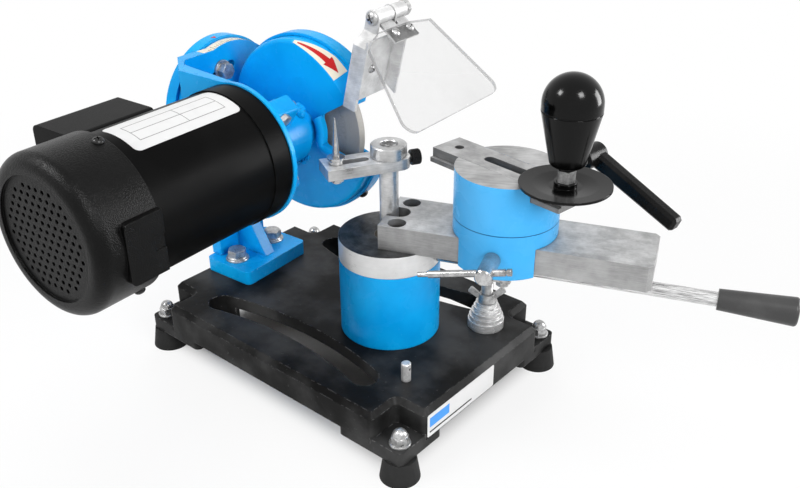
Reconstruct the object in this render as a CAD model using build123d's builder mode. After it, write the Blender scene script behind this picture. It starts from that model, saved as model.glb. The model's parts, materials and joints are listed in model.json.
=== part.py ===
from build123d import *

import math
import os

os.makedirs("parts", exist_ok=True)

# Bench sharpener for circular saw blades, in millimetres.
# +Z is up and the floor is z = 0. The origin lies under the middle of the whole machine.

# general clearances
SEAT = 0.05          # pieces of one body that are fitted into each other
RUN_FIT = 0.06       # radial running fit of a shaft, pin or screw
RUN_FLAT = 0.15      # gap between flat faces that slide on each other
RUN_FREE = 0.4       # gap between moving pieces that never touch
HOLE_PLAY = 0.3      # radial play of a bolt in a plain hole

# base casting
BASE_L = 319.0
BASE_W = 227.0
BASE_TOP = 56.0
BASE_ROOF = 12.0
SKIRT_T = 10.0
SKIRT_LOW = 28.0
PAD_LOW = 20.0
PAD_L = 68.0
PAD_W = 54.0
NOTCH_L = 30.0
NOTCH_W = 31.0
LEDGE_UP = 13.0
CORNER_R = 5.0
RIM_BEVEL = 4.5
SLOT_W = 25.0
SLOT_HALF = 92.0
SLOT_BOW = 13.0
SLOT_OUT = 64.5
SLOT_BACK = 54.0

# feet
FOOT_H = PAD_LOW
FOOT_TOP_R = 13.8
FOOT_LOW_R = 17.0
FOOT_IN_X = 10.0
FOOT_IN_Y = 11.5
FOOT_SOLE = 7.0
STUD_R = 4.0
FOOT_WASHER_R = 9.0
WASHER_T = 1.8
NUT_R = 7.6
NUT_H = 6.5
DOME_R = 6.2

# pillar, standing right of the middle of the base
PILLAR_X = -50.0
PILLAR_Y = 70.0
PILLAR_OFF = 51.8
PILLAR_R = 45.0
PILLAR_H = 72.3
PILLAR_BOSS_R = 40.0
PILLAR_SCREW_R = 4.0
PILLAR_SCREW_PITCH = 26.0
PILLAR_SCREW_DEEP = 16.0
CAP_HEAD_R = 6.5
CAP_HEAD_H = 8.0
CAP_KEY_R = 3.4
CAP_KEY_DEEP = 4.0

# turning collar and its bush
COLLAR_H = 20.2
BUSH_WALL = 4.8

# guide bar
ARM_TURN = 21.3
BAR_L = 226.0
BAR_W = 59.0
BAR_T = 22.5
BAR_END_CUT = 4.0
BAR_NOTCH_PLAY = 1.0
BAR_NOTCH_IN = 10.0
BAR_SCREW_IN = 14.0
BAR_SCREW_SIDE = 20.4
BAR_BORE_R = 7.9
BAR_BORE_DEEP = 14.0
BAR_SCREW_R = 4.0
BAR_SCREW_GRIP = 11.0

# feed lever
LEVER_UP = 7.5
LEVER_R = 6.0
LEVER_IN = 24.0
LEVER_OUT = 318.0
GRIP_FROM = 277.0
GRIP_TO = 337.0
GRIP_NECK_R = 8.7
GRIP_END_R = 11.8
GRIP_ROUND = 2.5

# stop post
POST_R = 8.2
POST_DEEP = 40.0
STOP_LOW = 213.0
STOP_T = 9.5
STOP_TURN = -119.0
STOP_REACH = 57.0
STOP_W = 27.0
STOP_BACK = 17.5
STOP_BACK_ROUND = 11.0
STOP_SLOT_FROM = 22.0
STOP_SLOT_TO = 46.0
STOP_SLOT_R = 4.2
CAP_R = 15.5
CAP_H = 10.6
CAP_SOCKET_R = 7.4
CAP_SOCKET_DEEP = 8.0
CAP_STEM_R = 5.0
CAP_STEM_L = 16.0
CAP_FLAT = 13.6
CAP_FLAT_TURN = -55.0
CAP_EDGE = 0.8
CLAMP_SCREW_R = 4.0
CLAMP_HEAD_R = 6.4
CLAMP_HEAD_L = 8.0
CLAMP_HEAD_OUT = 2.0

# stop finger
FINGER_STEM_R = 3.9
FINGER_SEAT_R = 6.2
FINGER_SEAT_H = 4.2
FINGER_RING_R = 7.4
FINGER_RING_H = 1.6
FINGER_ROOT_R = 3.1
FINGER_TIP_R = 0.5
FINGER_H = 33.5
FINGER_TAIL = 2.5
FINGER_NUT_R = 7.2
FINGER_NUT_H = 5.0

# carriage saddle
CARRIAGE_OUT = 102.3
SADDLE_R = 43.8
SADDLE_DROP = 2.8
SADDLE_FLAT = 31.6
SEAM_UP = 13.7
KEEPER_L = 30.0
KEEPER_W = 82.0
KEEPER_T = 3.5
KEEPER_BOLT_S = 8.0
KEEPER_BOLT_T = 36.3
KEEPER_BOLT_R = 3.0
KEEPER_BOLT_IN = 11.0
KEEPER_HEX_R = 5.6
KEEPER_HEX_H = 4.2

# locking screw with its sliding bar
LOCK_UP = 15.2
LOCK_R = 5.0
LOCK_HEAD_R = 7.0
LOCK_HEAD_L = 31.0
LOCK_BAR_IN = 9.5
LOCK_EDGE = 1.0
TOMMY_R = 3.0
TOMMY_LONG = 56.0
TOMMY_SHORT = 21.0
TOMMY_TURN = 12.0
TOMMY_TIP_R = 2.1
TOMMY_TIP_L = 9.0
TOMMY_GROOVE = 1.6

# turret and its centre bolt
TURRET_H = 41.7
PIVOT_R = 6.0
PIVOT_IN = 12.0
PIVOT_HEAD_R = 9.0
PIVOT_HEAD_H = 10.0
PIVOT_POCKET_R = 10.0
PIVOT_KEY_R = 5.5

# top slide
SLIDE_TURN = -7.2
SLIDE_W = 32.0
SLIDE_FOOT_W = 38.0
SLIDE_T = 12.0
SLIDE_FOOT_T = 4.0
SLIDE_IN = 70.5
SLIDE_OUT = 67.0
SLIDE_SLOT_FROM = -20.0
SLIDE_SLOT_TO = 26.0
SLIDE_SLOT_R = 5.0
SLIDE_HOLE_AT = -55.0
SLIDE_HOLE_R = 4.0

# blade clamp on the slide's outer end
CLAMP_AT = 57.0
CLAMP_STUD_R = 5.0
CLAMP_STUD_H = 36.0
DISH_R = 36.0
DISH_HUB_R = 13.0
DISH_BOWL_R = 25.0
DISH_RISE = 4.4
DISH_T = 2.0
DISH_FALL = 0.8
DISH_BOSS_R = 9.0
DISH_BOSS_H = 6.0
CLAMP_NUT_R = 7.6
CLAMP_NUT_H = 10.0
KNOB_LOW_R = 13.5
KNOB_R = 22.9
KNOB_CONE_H = 49.0
KNOB_GAP = 3.0
KNOB_NECK_R = 7.0
KNOB_SEAM_T = 1.2
KNOB_SEAM_IN = 0.7
KNOB_SEAM = 6.0
KNOB_BASE_ROUND = 4.0

# slide clamp lever
CLAMP_LEVER_AT = 26.0
CLAMP_LEVER_UP = 7.8
CLAMP_LEVER_HUB_IN = 62.0
CLAMP_LEVER_HUB_L = 22.0
CLAMP_LEVER_HUB_R = 10.0
CLAMP_LEVER_ROD_R = 3.0
CLAMP_LEVER_NECK_R = 6.0
CLAMP_LEVER_NECK_L = 8.0
CLAMP_LEVER_L = 92.0
CLAMP_LEVER_TURN = -22.0
CLAMP_LEVER_W = 15.0
CLAMP_LEVER_TIP_W = 13.0
CLAMP_LEVER_T = 12.0
CLAMP_LEVER_BEVEL = 2.5
CLAMP_LEVER_GRIP = 14.0

# stored centring rings, on a stud beside the pillar
RINGS_X = 69.4
RINGS_Y = 53.8
RING_R = (16.5, 15.4, 13.6, 11.7, 9.9)
RING_H = (8.0, 4.0, 4.5, 4.5, 4.5)
RING_PLAY = 0.15
RING_STUD_R = 5.0
RING_STUD_H = 45.0
RING_STUD_IN = 11.0
WING_HUB_R = 8.0
WING_HUB_H = 8.0
WING_SPAN = 17.0
WING_RISE = 10.0
WING_T = 3.0
WING_TURN = 38.0
WING_TAPER = 8.0
WING_ROOT = 6.5
WING_TIP = 5.0

# peg at the front of the base
PEG_X = 67.0
PEG_Y = -57.5
PEG_R = 4.2
PEG_H = 17.0
PEG_EYE_R = 1.2
PEG_EYE_UP = 12.0
PEG_EDGE = 0.8
PEG_IN = 9.0

# stand and head: the stand is set a little round on the base
HEAD_BACK = 102.9
HEAD_SIDE = 7.6
HEAD_UP = 167.8
STAND_TURN = 4.2
STAND_FOOT_L = 58.0
STAND_FOOT_W = 84.0
STAND_FOOT_T = 14.0
STAND_FOOT_AT = -77.0
STAND_FOOT_SIDE = 13.0
STAND_BOLT_AT = -79.0
STAND_BOLT_PITCH = 51.0
STAND_BOLT_R = 4.5
STAND_BOLT_IN = 11.0
STAND_HEX_R = 9.5
STAND_HEX_H = 9.0
STAND_WASHER_R = 11.5
STAND_FACE = -96.0
STAND_T = 12.0
STAND_NECK_W = 62.0
STAND_DISC_R = 65.2
STAND_RIB_T = 12.0
STAND_RIB_OUT = 38.0
STAND_RIB_UP = 66.0
SWIVEL_FORE = 9.5
SWIVEL_PIN_R = 8.0
SWIVEL_BOLT_PITCH = 41.0
SWIVEL_BOLT_R = 4.0
SWIVEL_HEX_R = 7.6
SWIVEL_HEX_H = 7.0
SWIVEL_WASHER_R = 9.5
SWIVEL_WASHER_T = 2.0
SWIVEL_TILT = 17.0
SWIVEL_BOLT_TURN = 19.0

# head bracket: swivel disc, motor flange and bearing boss in one casting
HEAD_DISC_R = 62.3
HEAD_DISC_T = 11.5
HEAD_TOP = 58.8
HEAD_CORNER = 66.0
HEAD_EDGE_AFT = 44.5
HEAD_POCKET_AFT = 46.0
HEAD_ARM_FROM = 75.6
HEAD_ARM_T = 14.4
HEAD_ARM_THIN = 5.2
HEAD_LOW = 50.0
FLANGE_R = 60.2
FLANGE_AFT = 70.0
FLANGE_T = 4.0
BOSS_R = 28.0
BOSS_FRONT = 8.0
BOSS_EDGE = 3.0
HEAD_RIB_T = 14.0
LUG_TURNS = (57.0, -63.0)
LUG_REACH = 47.0
LUG_W = 18.0
LUG_FRONT = 30.0
LUG_BOLT_OUT = 38.0
LUG_BOLT_R = 3.0
LUG_HEX_R = 6.6
LUG_HEX_H = 4.5
LUG_BOLT_IN = 14.0

# motor
CAN_R = 57.5
CAN_T = 3.0
CAN_AFT = 222.0
BAND_R = 58.7
BAND_L = 20.0
BELL_T = 12.0
STATOR_FROM = 100.0
STATOR_L = 70.0
STATOR_BORE_R = 34.0
SHAFT_R = 7.0
CORE_R = 33.2
BEARING_R = 16.0
BEARING_T = 9.0
BEARING_FRONT = 46.0
FAN_GAP = 6.0
FAN_CLEAR = 10.4
SHAFT_PAST = 3.0
FAN_R = 50.0
FAN_HUB_R = 13.0
FAN_BLADE_IN = 11.0
FAN_BLADE_OUT = 47.0
FAN_BLADES = 6
FAN_BLADE_T = 2.4
FAN_PLATE_T = 3.0

# fan cover
COVER_R = 62.0
COVER_OVER = 14.0
COVER_PAST = 40.0
COVER_WALL = 2.6
COVER_ROUND = 11.0
COVER_LAP = 12.0
GRILLE_R = 48.0
GRILLE_DEEP = 2.0
GRILLE_HOLE_R = 1.9
GRILLE_PITCH = 7.2
GRILLE_FIELD_R = 43.0
PAD_FACE = 63.6
PAD_LOW_EDGE = 27.0
PAD_HIGH_EDGE = 21.0
PAD_DEEP = 33.0
PAD_ROUND = 5.0
PAD_NOTCH_W = 11.0
PAD_NOTCH_L = 9.0
PAD_NOTCH_T = 1.2
COVER_SCREW_R = 2.0
COVER_SCREW_HEAD_R = 4.4
COVER_SCREW_HEAD_H = 3.0
COVER_SCREW_IN = 8.0
COVER_SCREW_TAPER = 14.0
COVER_SCREW_FROM = 6.0
COVER_SCREW_TURNS = (78.0, -58.0, 190.0)

# terminal box with the switch, on the far side of the motor
BOX_OUT = 80.0
BOX_IN = 30.0
BOX_TOP = 50.0
BOX_LOW = 22.0
BOX_FROM = 128.0
BOX_TO = 205.0
BOX_ROUND = 6.0
BUTTON_UP = 14.0
BUTTON_R = 8.0
BUTTON_PITCH = 24.0
BUTTON_OUT = 4.0
STOP_BUTTON_OUT = 6.5
BUTTON_DEEP = 9.0
BUTTON_IN = 5.0
GLAND_AT = 186.0
GLAND_SIDE = 66.0
GLAND_R = 8.5
GLAND_DOME_R = 7.2
GLAND_NUT_H = 5.0
GLAND_DOME_H = 8.0
GLAND_BORE_R = 4.0

# grinding wheel and its flanges
WHEEL_R = 62.5
WHEEL_FRONT = 9.5
WHEEL_BACK = 20.0
WHEEL_RIM = 7.5
WHEEL_CONE_R = 49.0
WHEEL_FACE_R = 34.0
WHEEL_DISH = 1.5
WHEEL_FLANGE_R = 24.0
WHEEL_FLANGE_T = 2.5
WHEEL_NUT_R = 11.0
WHEEL_NUT_H = 7.0
SHAFT_FRONT = 32.0

# wheel guard, its lid and the opening for the blade
GUARD_R = 79.0
GUARD_FRONT = 3.0
GUARD_WALL = 3.0
GUARD_ROUND = 3.5
GUARD_HUB_R = 20.0
GUARD_BORE_R = 10.0
SHOULDER_R = 105.6
SHOULDER_X = -30.0
SHOULDER_Y = -25.0
SHOULDER_DEEP = 20.0
BEAD_R = 5.0
BEAD_OUT = 4.4
BEAD_REACH = 68.0
BEAD_ROUND = 9.0
OPEN_HIGH = 31.0
OPEN_LOW = -17.0
OPEN_IN_R = 32.0
OPEN_ROUND = 6.0
LID_R = 82.0
LID_FRONT = 15.0
LID_BACK = 29.0
LID_WALL = 2.9
LID_ROUND = 2.0
LID_DOME_R = 30.0
LID_DOME_H = 10.0
LID_OPEN_R = 52.0
LID_SCREW_TURNS = (-43.0, 150.0, 238.0)
LID_SCREW_BACK = 19.5
STRIP_LUG_W = 12.0
STRIP_LUG_H = 20.0
STRIP_LUG_UP = 12.0
STRIP_LUG_T = 11.0

# eye shield and its hinge
STRIP_X = 62.2
STRIP_Y = 34.6
STRIP_LEAN = 13.3
STRIP_W = 12.6
STRIP_T = 3.0
STRIP_FOOT = 4.0
STRIP_LOW_L = 53.3
STRIP_JOG = 11.5
STRIP_JOG_L = 63.3
HINGE_L = 75.1
HINGE_EAR_R = 7.0
HINGE_BOLT_R = 3.0
HINGE_HEAD_R = 6.0
HINGE_HEAD_H = 3.5
HINGE_NUT_R = 6.6
HINGE_NUT_H = 5.5
HINGE_TAIL = 2.5
WEB_T = 2.0
WEB_FROM = 8.2
WEB_TO = 60.0
WEB_BACK = 36.0
EAR_OUT = 14.0
EAR_LOW = 9.9
EAR_LOW_IN = 16.4
EAR_HIGH = 60.0
EAR_HIGH_IN = 64.5
TAB_FROM = 26.0
TAB_TO = 43.0
TAB_BACK = 20.0
TAB_SCREW_UP = 34.3
TAB_SCREW_BACK = 11.0
TAB_SCREW_R = 2.0
TAB_SCREW_HEAD_R = 3.8
TAB_SCREW_HEAD_H = 2.6
KNUCKLE_FAR = 52.0
LEAF_NOTCH = 11.0
SLEEVE_R = 6.2
LEAF_REACH = 26.0
LEAF_T = 2.0
LEAF_END = 2.0
SHIELD_SLOPE = 39.0
SHIELD_T = 3.0
SHIELD_TOP = 14.0
SHIELD_TOP_FROM = 3.0
SHIELD_TOP_TO = 46.0
SHIELD_NEAR = 19.0
SHIELD_NEAR_DOWN = 24.6
SHIELD_FAR = 72.5
SHIELD_FAR_DOWN = 18.5
SHIELD_LOW = 101.7
SHIELD_LOW_NEAR = 49.5
SHIELD_LOW_FAR = 85.0
SHIELD_ROUND = 10.0
SHIELD_NEAR_ROUND = 6.0
SHIELD_SCREW_R = 2.0
SHIELD_SCREW_HEAD_R = 4.0
SHIELD_SCREW_HEAD_H = 2.4
SHIELD_SCREW_DOWN = 19.0
SHIELD_SCREW_AT = 22.0
SHIELD_SCREW_PITCH = 19.5

# levels that follow from the sizes above
BASE_X = PILLAR_X - PILLAR_OFF
BASE_Y = PILLAR_Y
LEDGE = PAD_LOW + LEDGE_UP
ROOF_LOW = BASE_TOP - BASE_ROOF
PILLAR_TOP = BASE_TOP + PILLAR_H
COLLAR_LOW = PILLAR_TOP + RUN_FLAT
COLLAR_TOP = COLLAR_LOW + COLLAR_H
BUSH_R = POST_R + BUSH_WALL
BAR_LOW = COLLAR_TOP
BAR_TOP = BAR_LOW + BAR_T
LEVER_Z = COLLAR_LOW + LEVER_UP
SADDLE_LOW = BAR_LOW - SADDLE_DROP
SEAM = BAR_TOP + SEAM_UP
LOCK_Z = BAR_LOW + LOCK_UP
LOCK_TIP = BAR_W / 2 + RUN_FLAT
LOCK_FACE = SADDLE_R + RUN_FREE
LOCK_END = LOCK_FACE + LOCK_HEAD_L
LOCK_HOLE_AT = LOCK_END - LOCK_BAR_IN
TURRET_LOW = SEAM + RUN_FLAT
TURRET_TOP = TURRET_LOW + TURRET_H
SLIDE_LOW = TURRET_TOP - SLIDE_T
SLIDE_STEP = SLIDE_LOW + SLIDE_FOOT_T
GROOVE_LOW = SLIDE_LOW - RUN_FLAT
POCKET_LOW = GROOVE_LOW - PIVOT_HEAD_H - 2 * RUN_FLAT
DISH_LOW = TURRET_TOP + RUN_FLAT
KNOB_NUT_LOW = DISH_LOW + DISH_BOSS_H + RUN_FLAT
KNOB_NECK = KNOB_NUT_LOW + CLAMP_NUT_H
KNOB_LOW = KNOB_NECK + KNOB_GAP
KNOB_WIDE = KNOB_LOW + KNOB_CONE_H
CLAMP_LEVER_Z = SLIDE_LOW + CLAMP_LEVER_UP
STOP_TOP = STOP_LOW + STOP_T
HEAD_Z = BASE_TOP + HEAD_UP
STAND_TOP = BASE_TOP + STAND_FOOT_T
HEAD_DISC_LOW = STAND_FACE + RUN_FLAT
HEAD_DISC_FACE = HEAD_DISC_LOW + HEAD_DISC_T
FLANGE_FRONT = FLANGE_AFT - FLANGE_T
BELL_FROM = CAN_AFT - BELL_T
COVER_FROM = CAN_AFT - COVER_OVER
COVER_AFT = CAN_AFT + COVER_PAST
COVER_SCREW_AFT = COVER_FROM + COVER_SCREW_FROM
FAN_AFT = CAN_AFT + FAN_GAP
FAN_L = COVER_AFT - GRILLE_DEEP - COVER_WALL - FAN_CLEAR - FAN_AFT
SHAFT_AFT = FAN_AFT + FAN_L + SHAFT_PAST
GUARD_BACK = LID_BACK - LID_WALL - SEAT
BEAD_LOW = OPEN_LOW - math.degrees(math.asin(BEAD_OUT / (OPEN_IN_R - BEAD_OUT)))
FOOT_TAPER = math.degrees(math.atan2(FOOT_LOW_R - FOOT_TOP_R, FOOT_H))
CAP_LOW = STOP_TOP + RUN_FLAT
RINGS_TOP = BASE_TOP + sum(RING_H)
FINGER_FOOT = CAP_LOW + FINGER_SEAT_H + FINGER_RING_H


def turned(plane, angle):
    """The same plane, turned about its own normal by an angle in degrees."""
    return Plane(plane.origin, plane.x_dir.rotate(Axis((0, 0, 0), plane.z_dir), angle), plane.z_dir)


# working planes
PILLAR = Plane((PILLAR_X, PILLAR_Y, 0))
BASE = Plane((BASE_X, BASE_Y, 0))
ARM = turned(PILLAR, ARM_TURN)
CARRIAGE = Plane(ARM.from_local_coords(Vector(CARRIAGE_OUT, 0, 0)), ARM.x_dir, ARM.z_dir)
SLIDE = turned(Plane(CARRIAGE.origin), SLIDE_TURN)
STOP = turned(PILLAR, STOP_TURN)
STAND = turned(Plane((PILLAR_X - HEAD_BACK, PILLAR_Y - HEAD_SIDE, 0)), STAND_TURN)
HEAD_ORIGIN = STAND.from_local_coords(Vector(0, 0, HEAD_Z))
# seen from the fan end: x to the front of the machine, y up, z along the motor towards the fan
HEAD = Plane(HEAD_ORIGIN, STAND.x_dir, -STAND.y_dir)
# a cut through the motor's axis: x towards the fan, y up
HEAD_CUT = Plane(HEAD_ORIGIN, HEAD.z_dir, -STAND.x_dir)
HEAD_AXIS = Axis(HEAD_ORIGIN, HEAD.z_dir)
# the swivel axis runs through the wheel: x away from the fan, y up, z to the front of the machine
SWIVEL = Plane(HEAD.from_local_coords(Vector(0, 0, -SWIVEL_FORE)), STAND.y_dir, STAND.x_dir)
# the lever rod and the locking screw lie level
LEVER = Plane(ARM.from_local_coords(Vector(0, 0, LEVER_Z)), ARM.y_dir, ARM.x_dir)
LEVER_CUT = Plane(LEVER.origin, ARM.x_dir, -ARM.y_dir)
LOCK = Plane(CARRIAGE.from_local_coords(Vector(0, 0, LOCK_Z)), CARRIAGE.x_dir, -CARRIAGE.y_dir)
CLAMP = Plane(SLIDE.from_local_coords(Vector(CLAMP_AT, 0, 0)), SLIDE.x_dir, SLIDE.z_dir)
CLAMP_CUT = Plane(CLAMP.origin, SLIDE.x_dir, -SLIDE.y_dir)
CLAMP_LEVER = Plane(
    SLIDE.from_local_coords(Vector(CLAMP_LEVER_AT, 0, CLAMP_LEVER_Z)), SLIDE.x_dir, -SLIDE.y_dir
)
CLAMP_LEVER_FACE = turned(CLAMP_LEVER, CLAMP_LEVER_TURN).offset(-CLAMP_LEVER_HUB_IN - CLAMP_LEVER_HUB_L)
STOP_END = Plane(
    STOP.from_local_coords(Vector(-STOP_BACK, 0, STOP_LOW + STOP_T / 2)), STOP.y_dir, STOP.x_dir
)
FINGER = Plane(STOP.from_local_coords(Vector(STOP_SLOT_TO, 0, 0)), STOP.x_dir, STOP.z_dir)
FINGER_CUT = Plane(FINGER.origin, STOP.x_dir, -STOP.y_dir)
LOCK_AXIS = Axis(LOCK.origin, LOCK.z_dir)
# the sliding bar runs across the locking screw's head, one end a little higher
TOMMY = Plane(LOCK.offset(LOCK_HOLE_AT).origin, LOCK.z_dir, turned(LOCK, TOMMY_TURN).x_dir)
TOMMY_CUT = Plane(TOMMY.origin, TOMMY.z_dir, TOMMY.x_dir)
RINGS = Plane((PILLAR_X + RINGS_X, PILLAR_Y + RINGS_Y, 0))
WING = Plane(
    RINGS.offset(RINGS_TOP + RUN_FLAT).origin,
    turned(RINGS, WING_TURN).x_dir,
    -turned(RINGS, WING_TURN).y_dir,
)
PEG = Plane((PILLAR_X + PEG_X, PILLAR_Y + PEG_Y, 0))
# the strip's own frame: x across the strip, y up along it, z towards the fan
STRIP = turned(
    Plane(HEAD.from_local_coords(Vector(STRIP_X, STRIP_Y, 0)), HEAD.x_dir, HEAD.z_dir), -STRIP_LEAN
)
HINGE = Plane(STRIP.from_local_coords(Vector(0, HINGE_L, 0)), HEAD.x_dir, HEAD.z_dir)
# the shield's own frame: x down the shield, y away from the fan, z out of its outer face
SHIELD = Plane(
    HINGE.origin,
    turned(HINGE, -SHIELD_SLOPE).x_dir,
    turned(HINGE, -SHIELD_SLOPE).y_dir,
)

# a cut through the axis of the guard's conical shoulder: x towards the fan, y up
SHOULDER = Plane(
    HEAD.from_local_coords(Vector(SHOULDER_X, SHOULDER_Y, -GUARD_FRONT)), HEAD.z_dir, -HEAD.x_dir
)
STRIP_EDGE = Plane(STRIP.origin, STRIP.y_dir, STRIP.x_dir)
# the strip's folded tab, seen from the bracket's side
TAB = Plane(
    STRIP.from_local_coords(Vector(STRIP_W / 2, TAB_SCREW_UP, -TAB_SCREW_BACK)), STRIP.y_dir, STRIP.x_dir
)
PAD = Plane(HEAD.from_local_coords(Vector(0, 0, COVER_FROM)), HEAD.z_dir, -HEAD.x_dir)
BUTTONS = Plane(
    HEAD.from_local_coords(Vector(-BOX_OUT, BUTTON_UP, (BOX_FROM + BOX_TO) / 2)), HEAD.z_dir, -HEAD.x_dir
)
GLAND = Plane(HEAD.from_local_coords(Vector(-GLAND_SIDE, -BOX_LOW, GLAND_AT)), HEAD.x_dir, -HEAD.y_dir)
RIB = Plane(
    STAND.from_local_coords(Vector(STAND_FACE, STAND_FOOT_SIDE, STAND_TOP)), STAND.x_dir, -STAND.y_dir
)


def spoke(turn, aft, out):
    """Plane of a radial screw on the head: its origin on the axis side, its z pointing outwards."""
    arm = turned(HEAD.offset(aft), turn)
    return Plane(arm.from_local_coords(Vector(out, 0, 0)), arm.y_dir, arm.x_dir)


COVER_SPOKES = [spoke(turn, COVER_SCREW_AFT, COVER_R) for turn in COVER_SCREW_TURNS]
LID_SPOKES = [spoke(turn, -LID_SCREW_BACK, LID_R) for turn in LID_SCREW_TURNS]
GRILLE_ROWS = round(GRILLE_FIELD_R / GRILLE_PITCH) + 1
GRILLE_SPOTS = [
    (GRILLE_PITCH * (column + row % 2 / 2), GRILLE_PITCH * row * math.sqrt(3) / 2)
    for row in range(-GRILLE_ROWS, GRILLE_ROWS + 1)
    for column in range(-GRILLE_ROWS, GRILLE_ROWS + 1)
    if math.hypot(column + row % 2 / 2, row * math.sqrt(3) / 2) * GRILLE_PITCH < GRILLE_FIELD_R
]
SLEEVE_NEAR = STRIP_JOG + STRIP_T + RUN_FREE
HINGE_NUT_AT = KNUCKLE_FAR + RUN_FREE
SHIELD_SCREWS = (
    (SHIELD_SCREW_DOWN, SHIELD_SCREW_AT),
    (SHIELD_SCREW_DOWN, SHIELD_SCREW_AT + SHIELD_SCREW_PITCH),
)
FOOT_GRID = (BASE_L - 2 * FOOT_IN_X, BASE_W - 2 * FOOT_IN_Y)
KEEPER_GRID = (2 * KEEPER_BOLT_S, 2 * KEEPER_BOLT_T)
SWIVEL_BOLTS = (
    Vector(0, SWIVEL_BOLT_PITCH).rotate(Axis.Z, SWIVEL_BOLT_TURN),
    Vector(0, -SWIVEL_BOLT_PITCH).rotate(Axis.Z, -SWIVEL_BOLT_TURN),
)
STAND_BOLTS = (
    (STAND_BOLT_AT, STAND_FOOT_SIDE - STAND_BOLT_PITCH / 2),
    (STAND_BOLT_AT, STAND_FOOT_SIDE + STAND_BOLT_PITCH / 2),
)
BAR_SCREWS = ((BAR_SCREW_IN, BAR_SCREW_SIDE), (BAR_SCREW_IN, -BAR_SCREW_SIDE))

# curved slots in the base, bowed towards the pillar
slot_line = ThreePointArc(
    (-SLOT_BACK - SLOT_HALF, -SLOT_OUT - SLOT_BOW),
    (-SLOT_BACK, -SLOT_OUT),
    (-SLOT_BACK + SLOT_HALF, -SLOT_OUT - SLOT_BOW),
)

# Base casting: a skirted plate with dropped corner ledges, pads and two bowed slots
with BuildPart() as base_plate:
    with BuildSketch(BASE.offset(SKIRT_LOW)) as plan:
        Rectangle(BASE_L, BASE_W)
        with GridLocations(BASE_L - NOTCH_L, BASE_W - NOTCH_W, 2, 2):
            Rectangle(NOTCH_L, NOTCH_W, mode=Mode.SUBTRACT)
        fillet(plan.vertices(), CORNER_R)
    extrude(amount=BASE_TOP - SKIRT_LOW)
    chamfer(base_plate.faces().sort_by(Axis.Z)[-1].edges(), RIM_BEVEL)
    with BuildSketch(BASE.offset(PAD_LOW)):
        with GridLocations(BASE_L - PAD_L, BASE_W - PAD_W, 2, 2):
            RectangleRounded(PAD_L, PAD_W, CORNER_R)
    extrude(amount=SKIRT_LOW - PAD_LOW)
    with BuildSketch(BASE.offset(PAD_LOW)):
        with GridLocations(BASE_L - NOTCH_L - CORNER_R, BASE_W - NOTCH_W - CORNER_R, 2, 2):
            RectangleRounded(NOTCH_L + CORNER_R, NOTCH_W + CORNER_R, CORNER_R)
    extrude(amount=LEDGE_UP)
    with BuildSketch(BASE.offset(PAD_LOW)):
        Rectangle(BASE_L - 2 * SKIRT_T, BASE_W - 2 * PAD_W)
        Rectangle(BASE_L - 2 * PAD_L, BASE_W - 2 * SKIRT_T)
    extrude(amount=ROOF_LOW - PAD_LOW, mode=Mode.SUBTRACT)
    with BuildSketch(PILLAR.offset(SKIRT_LOW)):
        Circle(PILLAR_BOSS_R)
    extrude(amount=BASE_TOP - SKIRT_LOW - BASE_ROOF / 2)
    with BuildSketch(STAND.offset(SKIRT_LOW)):
        with Locations(*STAND_BOLTS):
            Circle(STAND_WASHER_R)
    extrude(amount=BASE_TOP - SKIRT_LOW - BASE_ROOF / 2)
    with BuildSketch(RINGS.offset(SKIRT_LOW)):
        Circle(RING_R[0])
    extrude(amount=BASE_TOP - SKIRT_LOW - BASE_ROOF / 2)
    with BuildSketch(PILLAR.offset(BASE_TOP)):
        SlotArc(slot_line, SLOT_W)
        mirror(about=Plane.XZ)
    extrude(amount=-BASE_TOP, mode=Mode.SUBTRACT)
    with BuildSketch(BASE.offset(LEDGE)):
        with GridLocations(*FOOT_GRID, 2, 2):
            Circle(STUD_R + HOLE_PLAY)
    extrude(amount=-LEDGE_UP, mode=Mode.SUBTRACT)
    with BuildSketch(STAND.offset(BASE_TOP)):
        with Locations(*STAND_BOLTS):
            Circle(STAND_BOLT_R + SEAT)
    extrude(amount=-STAND_BOLT_IN - SEAT, mode=Mode.SUBTRACT)
    with BuildSketch(PILLAR.offset(BASE_TOP)):
        with PolarLocations(PILLAR_SCREW_PITCH, 3):
            Circle(PILLAR_SCREW_R + HOLE_PLAY)
    extrude(amount=-BASE_TOP, mode=Mode.SUBTRACT)
    with BuildSketch(RINGS.offset(BASE_TOP)):
        Circle(RING_STUD_R + SEAT)
    extrude(amount=-RING_STUD_IN - SEAT, mode=Mode.SUBTRACT)
    with BuildSketch(PEG.offset(BASE_TOP)):
        Circle(PEG_R + SEAT)
    extrude(amount=-PEG_IN - SEAT, mode=Mode.SUBTRACT)
base_plate.part.label = "base_plate"
export_step(base_plate.part, "parts/base_plate.step")

# Four flared rubber feet, each bored for its stud
with BuildPart() as rubber_feet:
    with BuildSketch(BASE):
        with GridLocations(*FOOT_GRID, 2, 2):
            Circle(FOOT_LOW_R)
    extrude(amount=FOOT_H, taper=FOOT_TAPER)
    with BuildSketch(BASE.offset(FOOT_H)):
        with GridLocations(*FOOT_GRID, 2, 2):
            Circle(STUD_R + SEAT)
    extrude(amount=-(FOOT_H - FOOT_SOLE), mode=Mode.SUBTRACT)
rubber_feet.part.label = "rubber_feet"
export_step(rubber_feet.part, "parts/rubber_feet.step")

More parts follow.
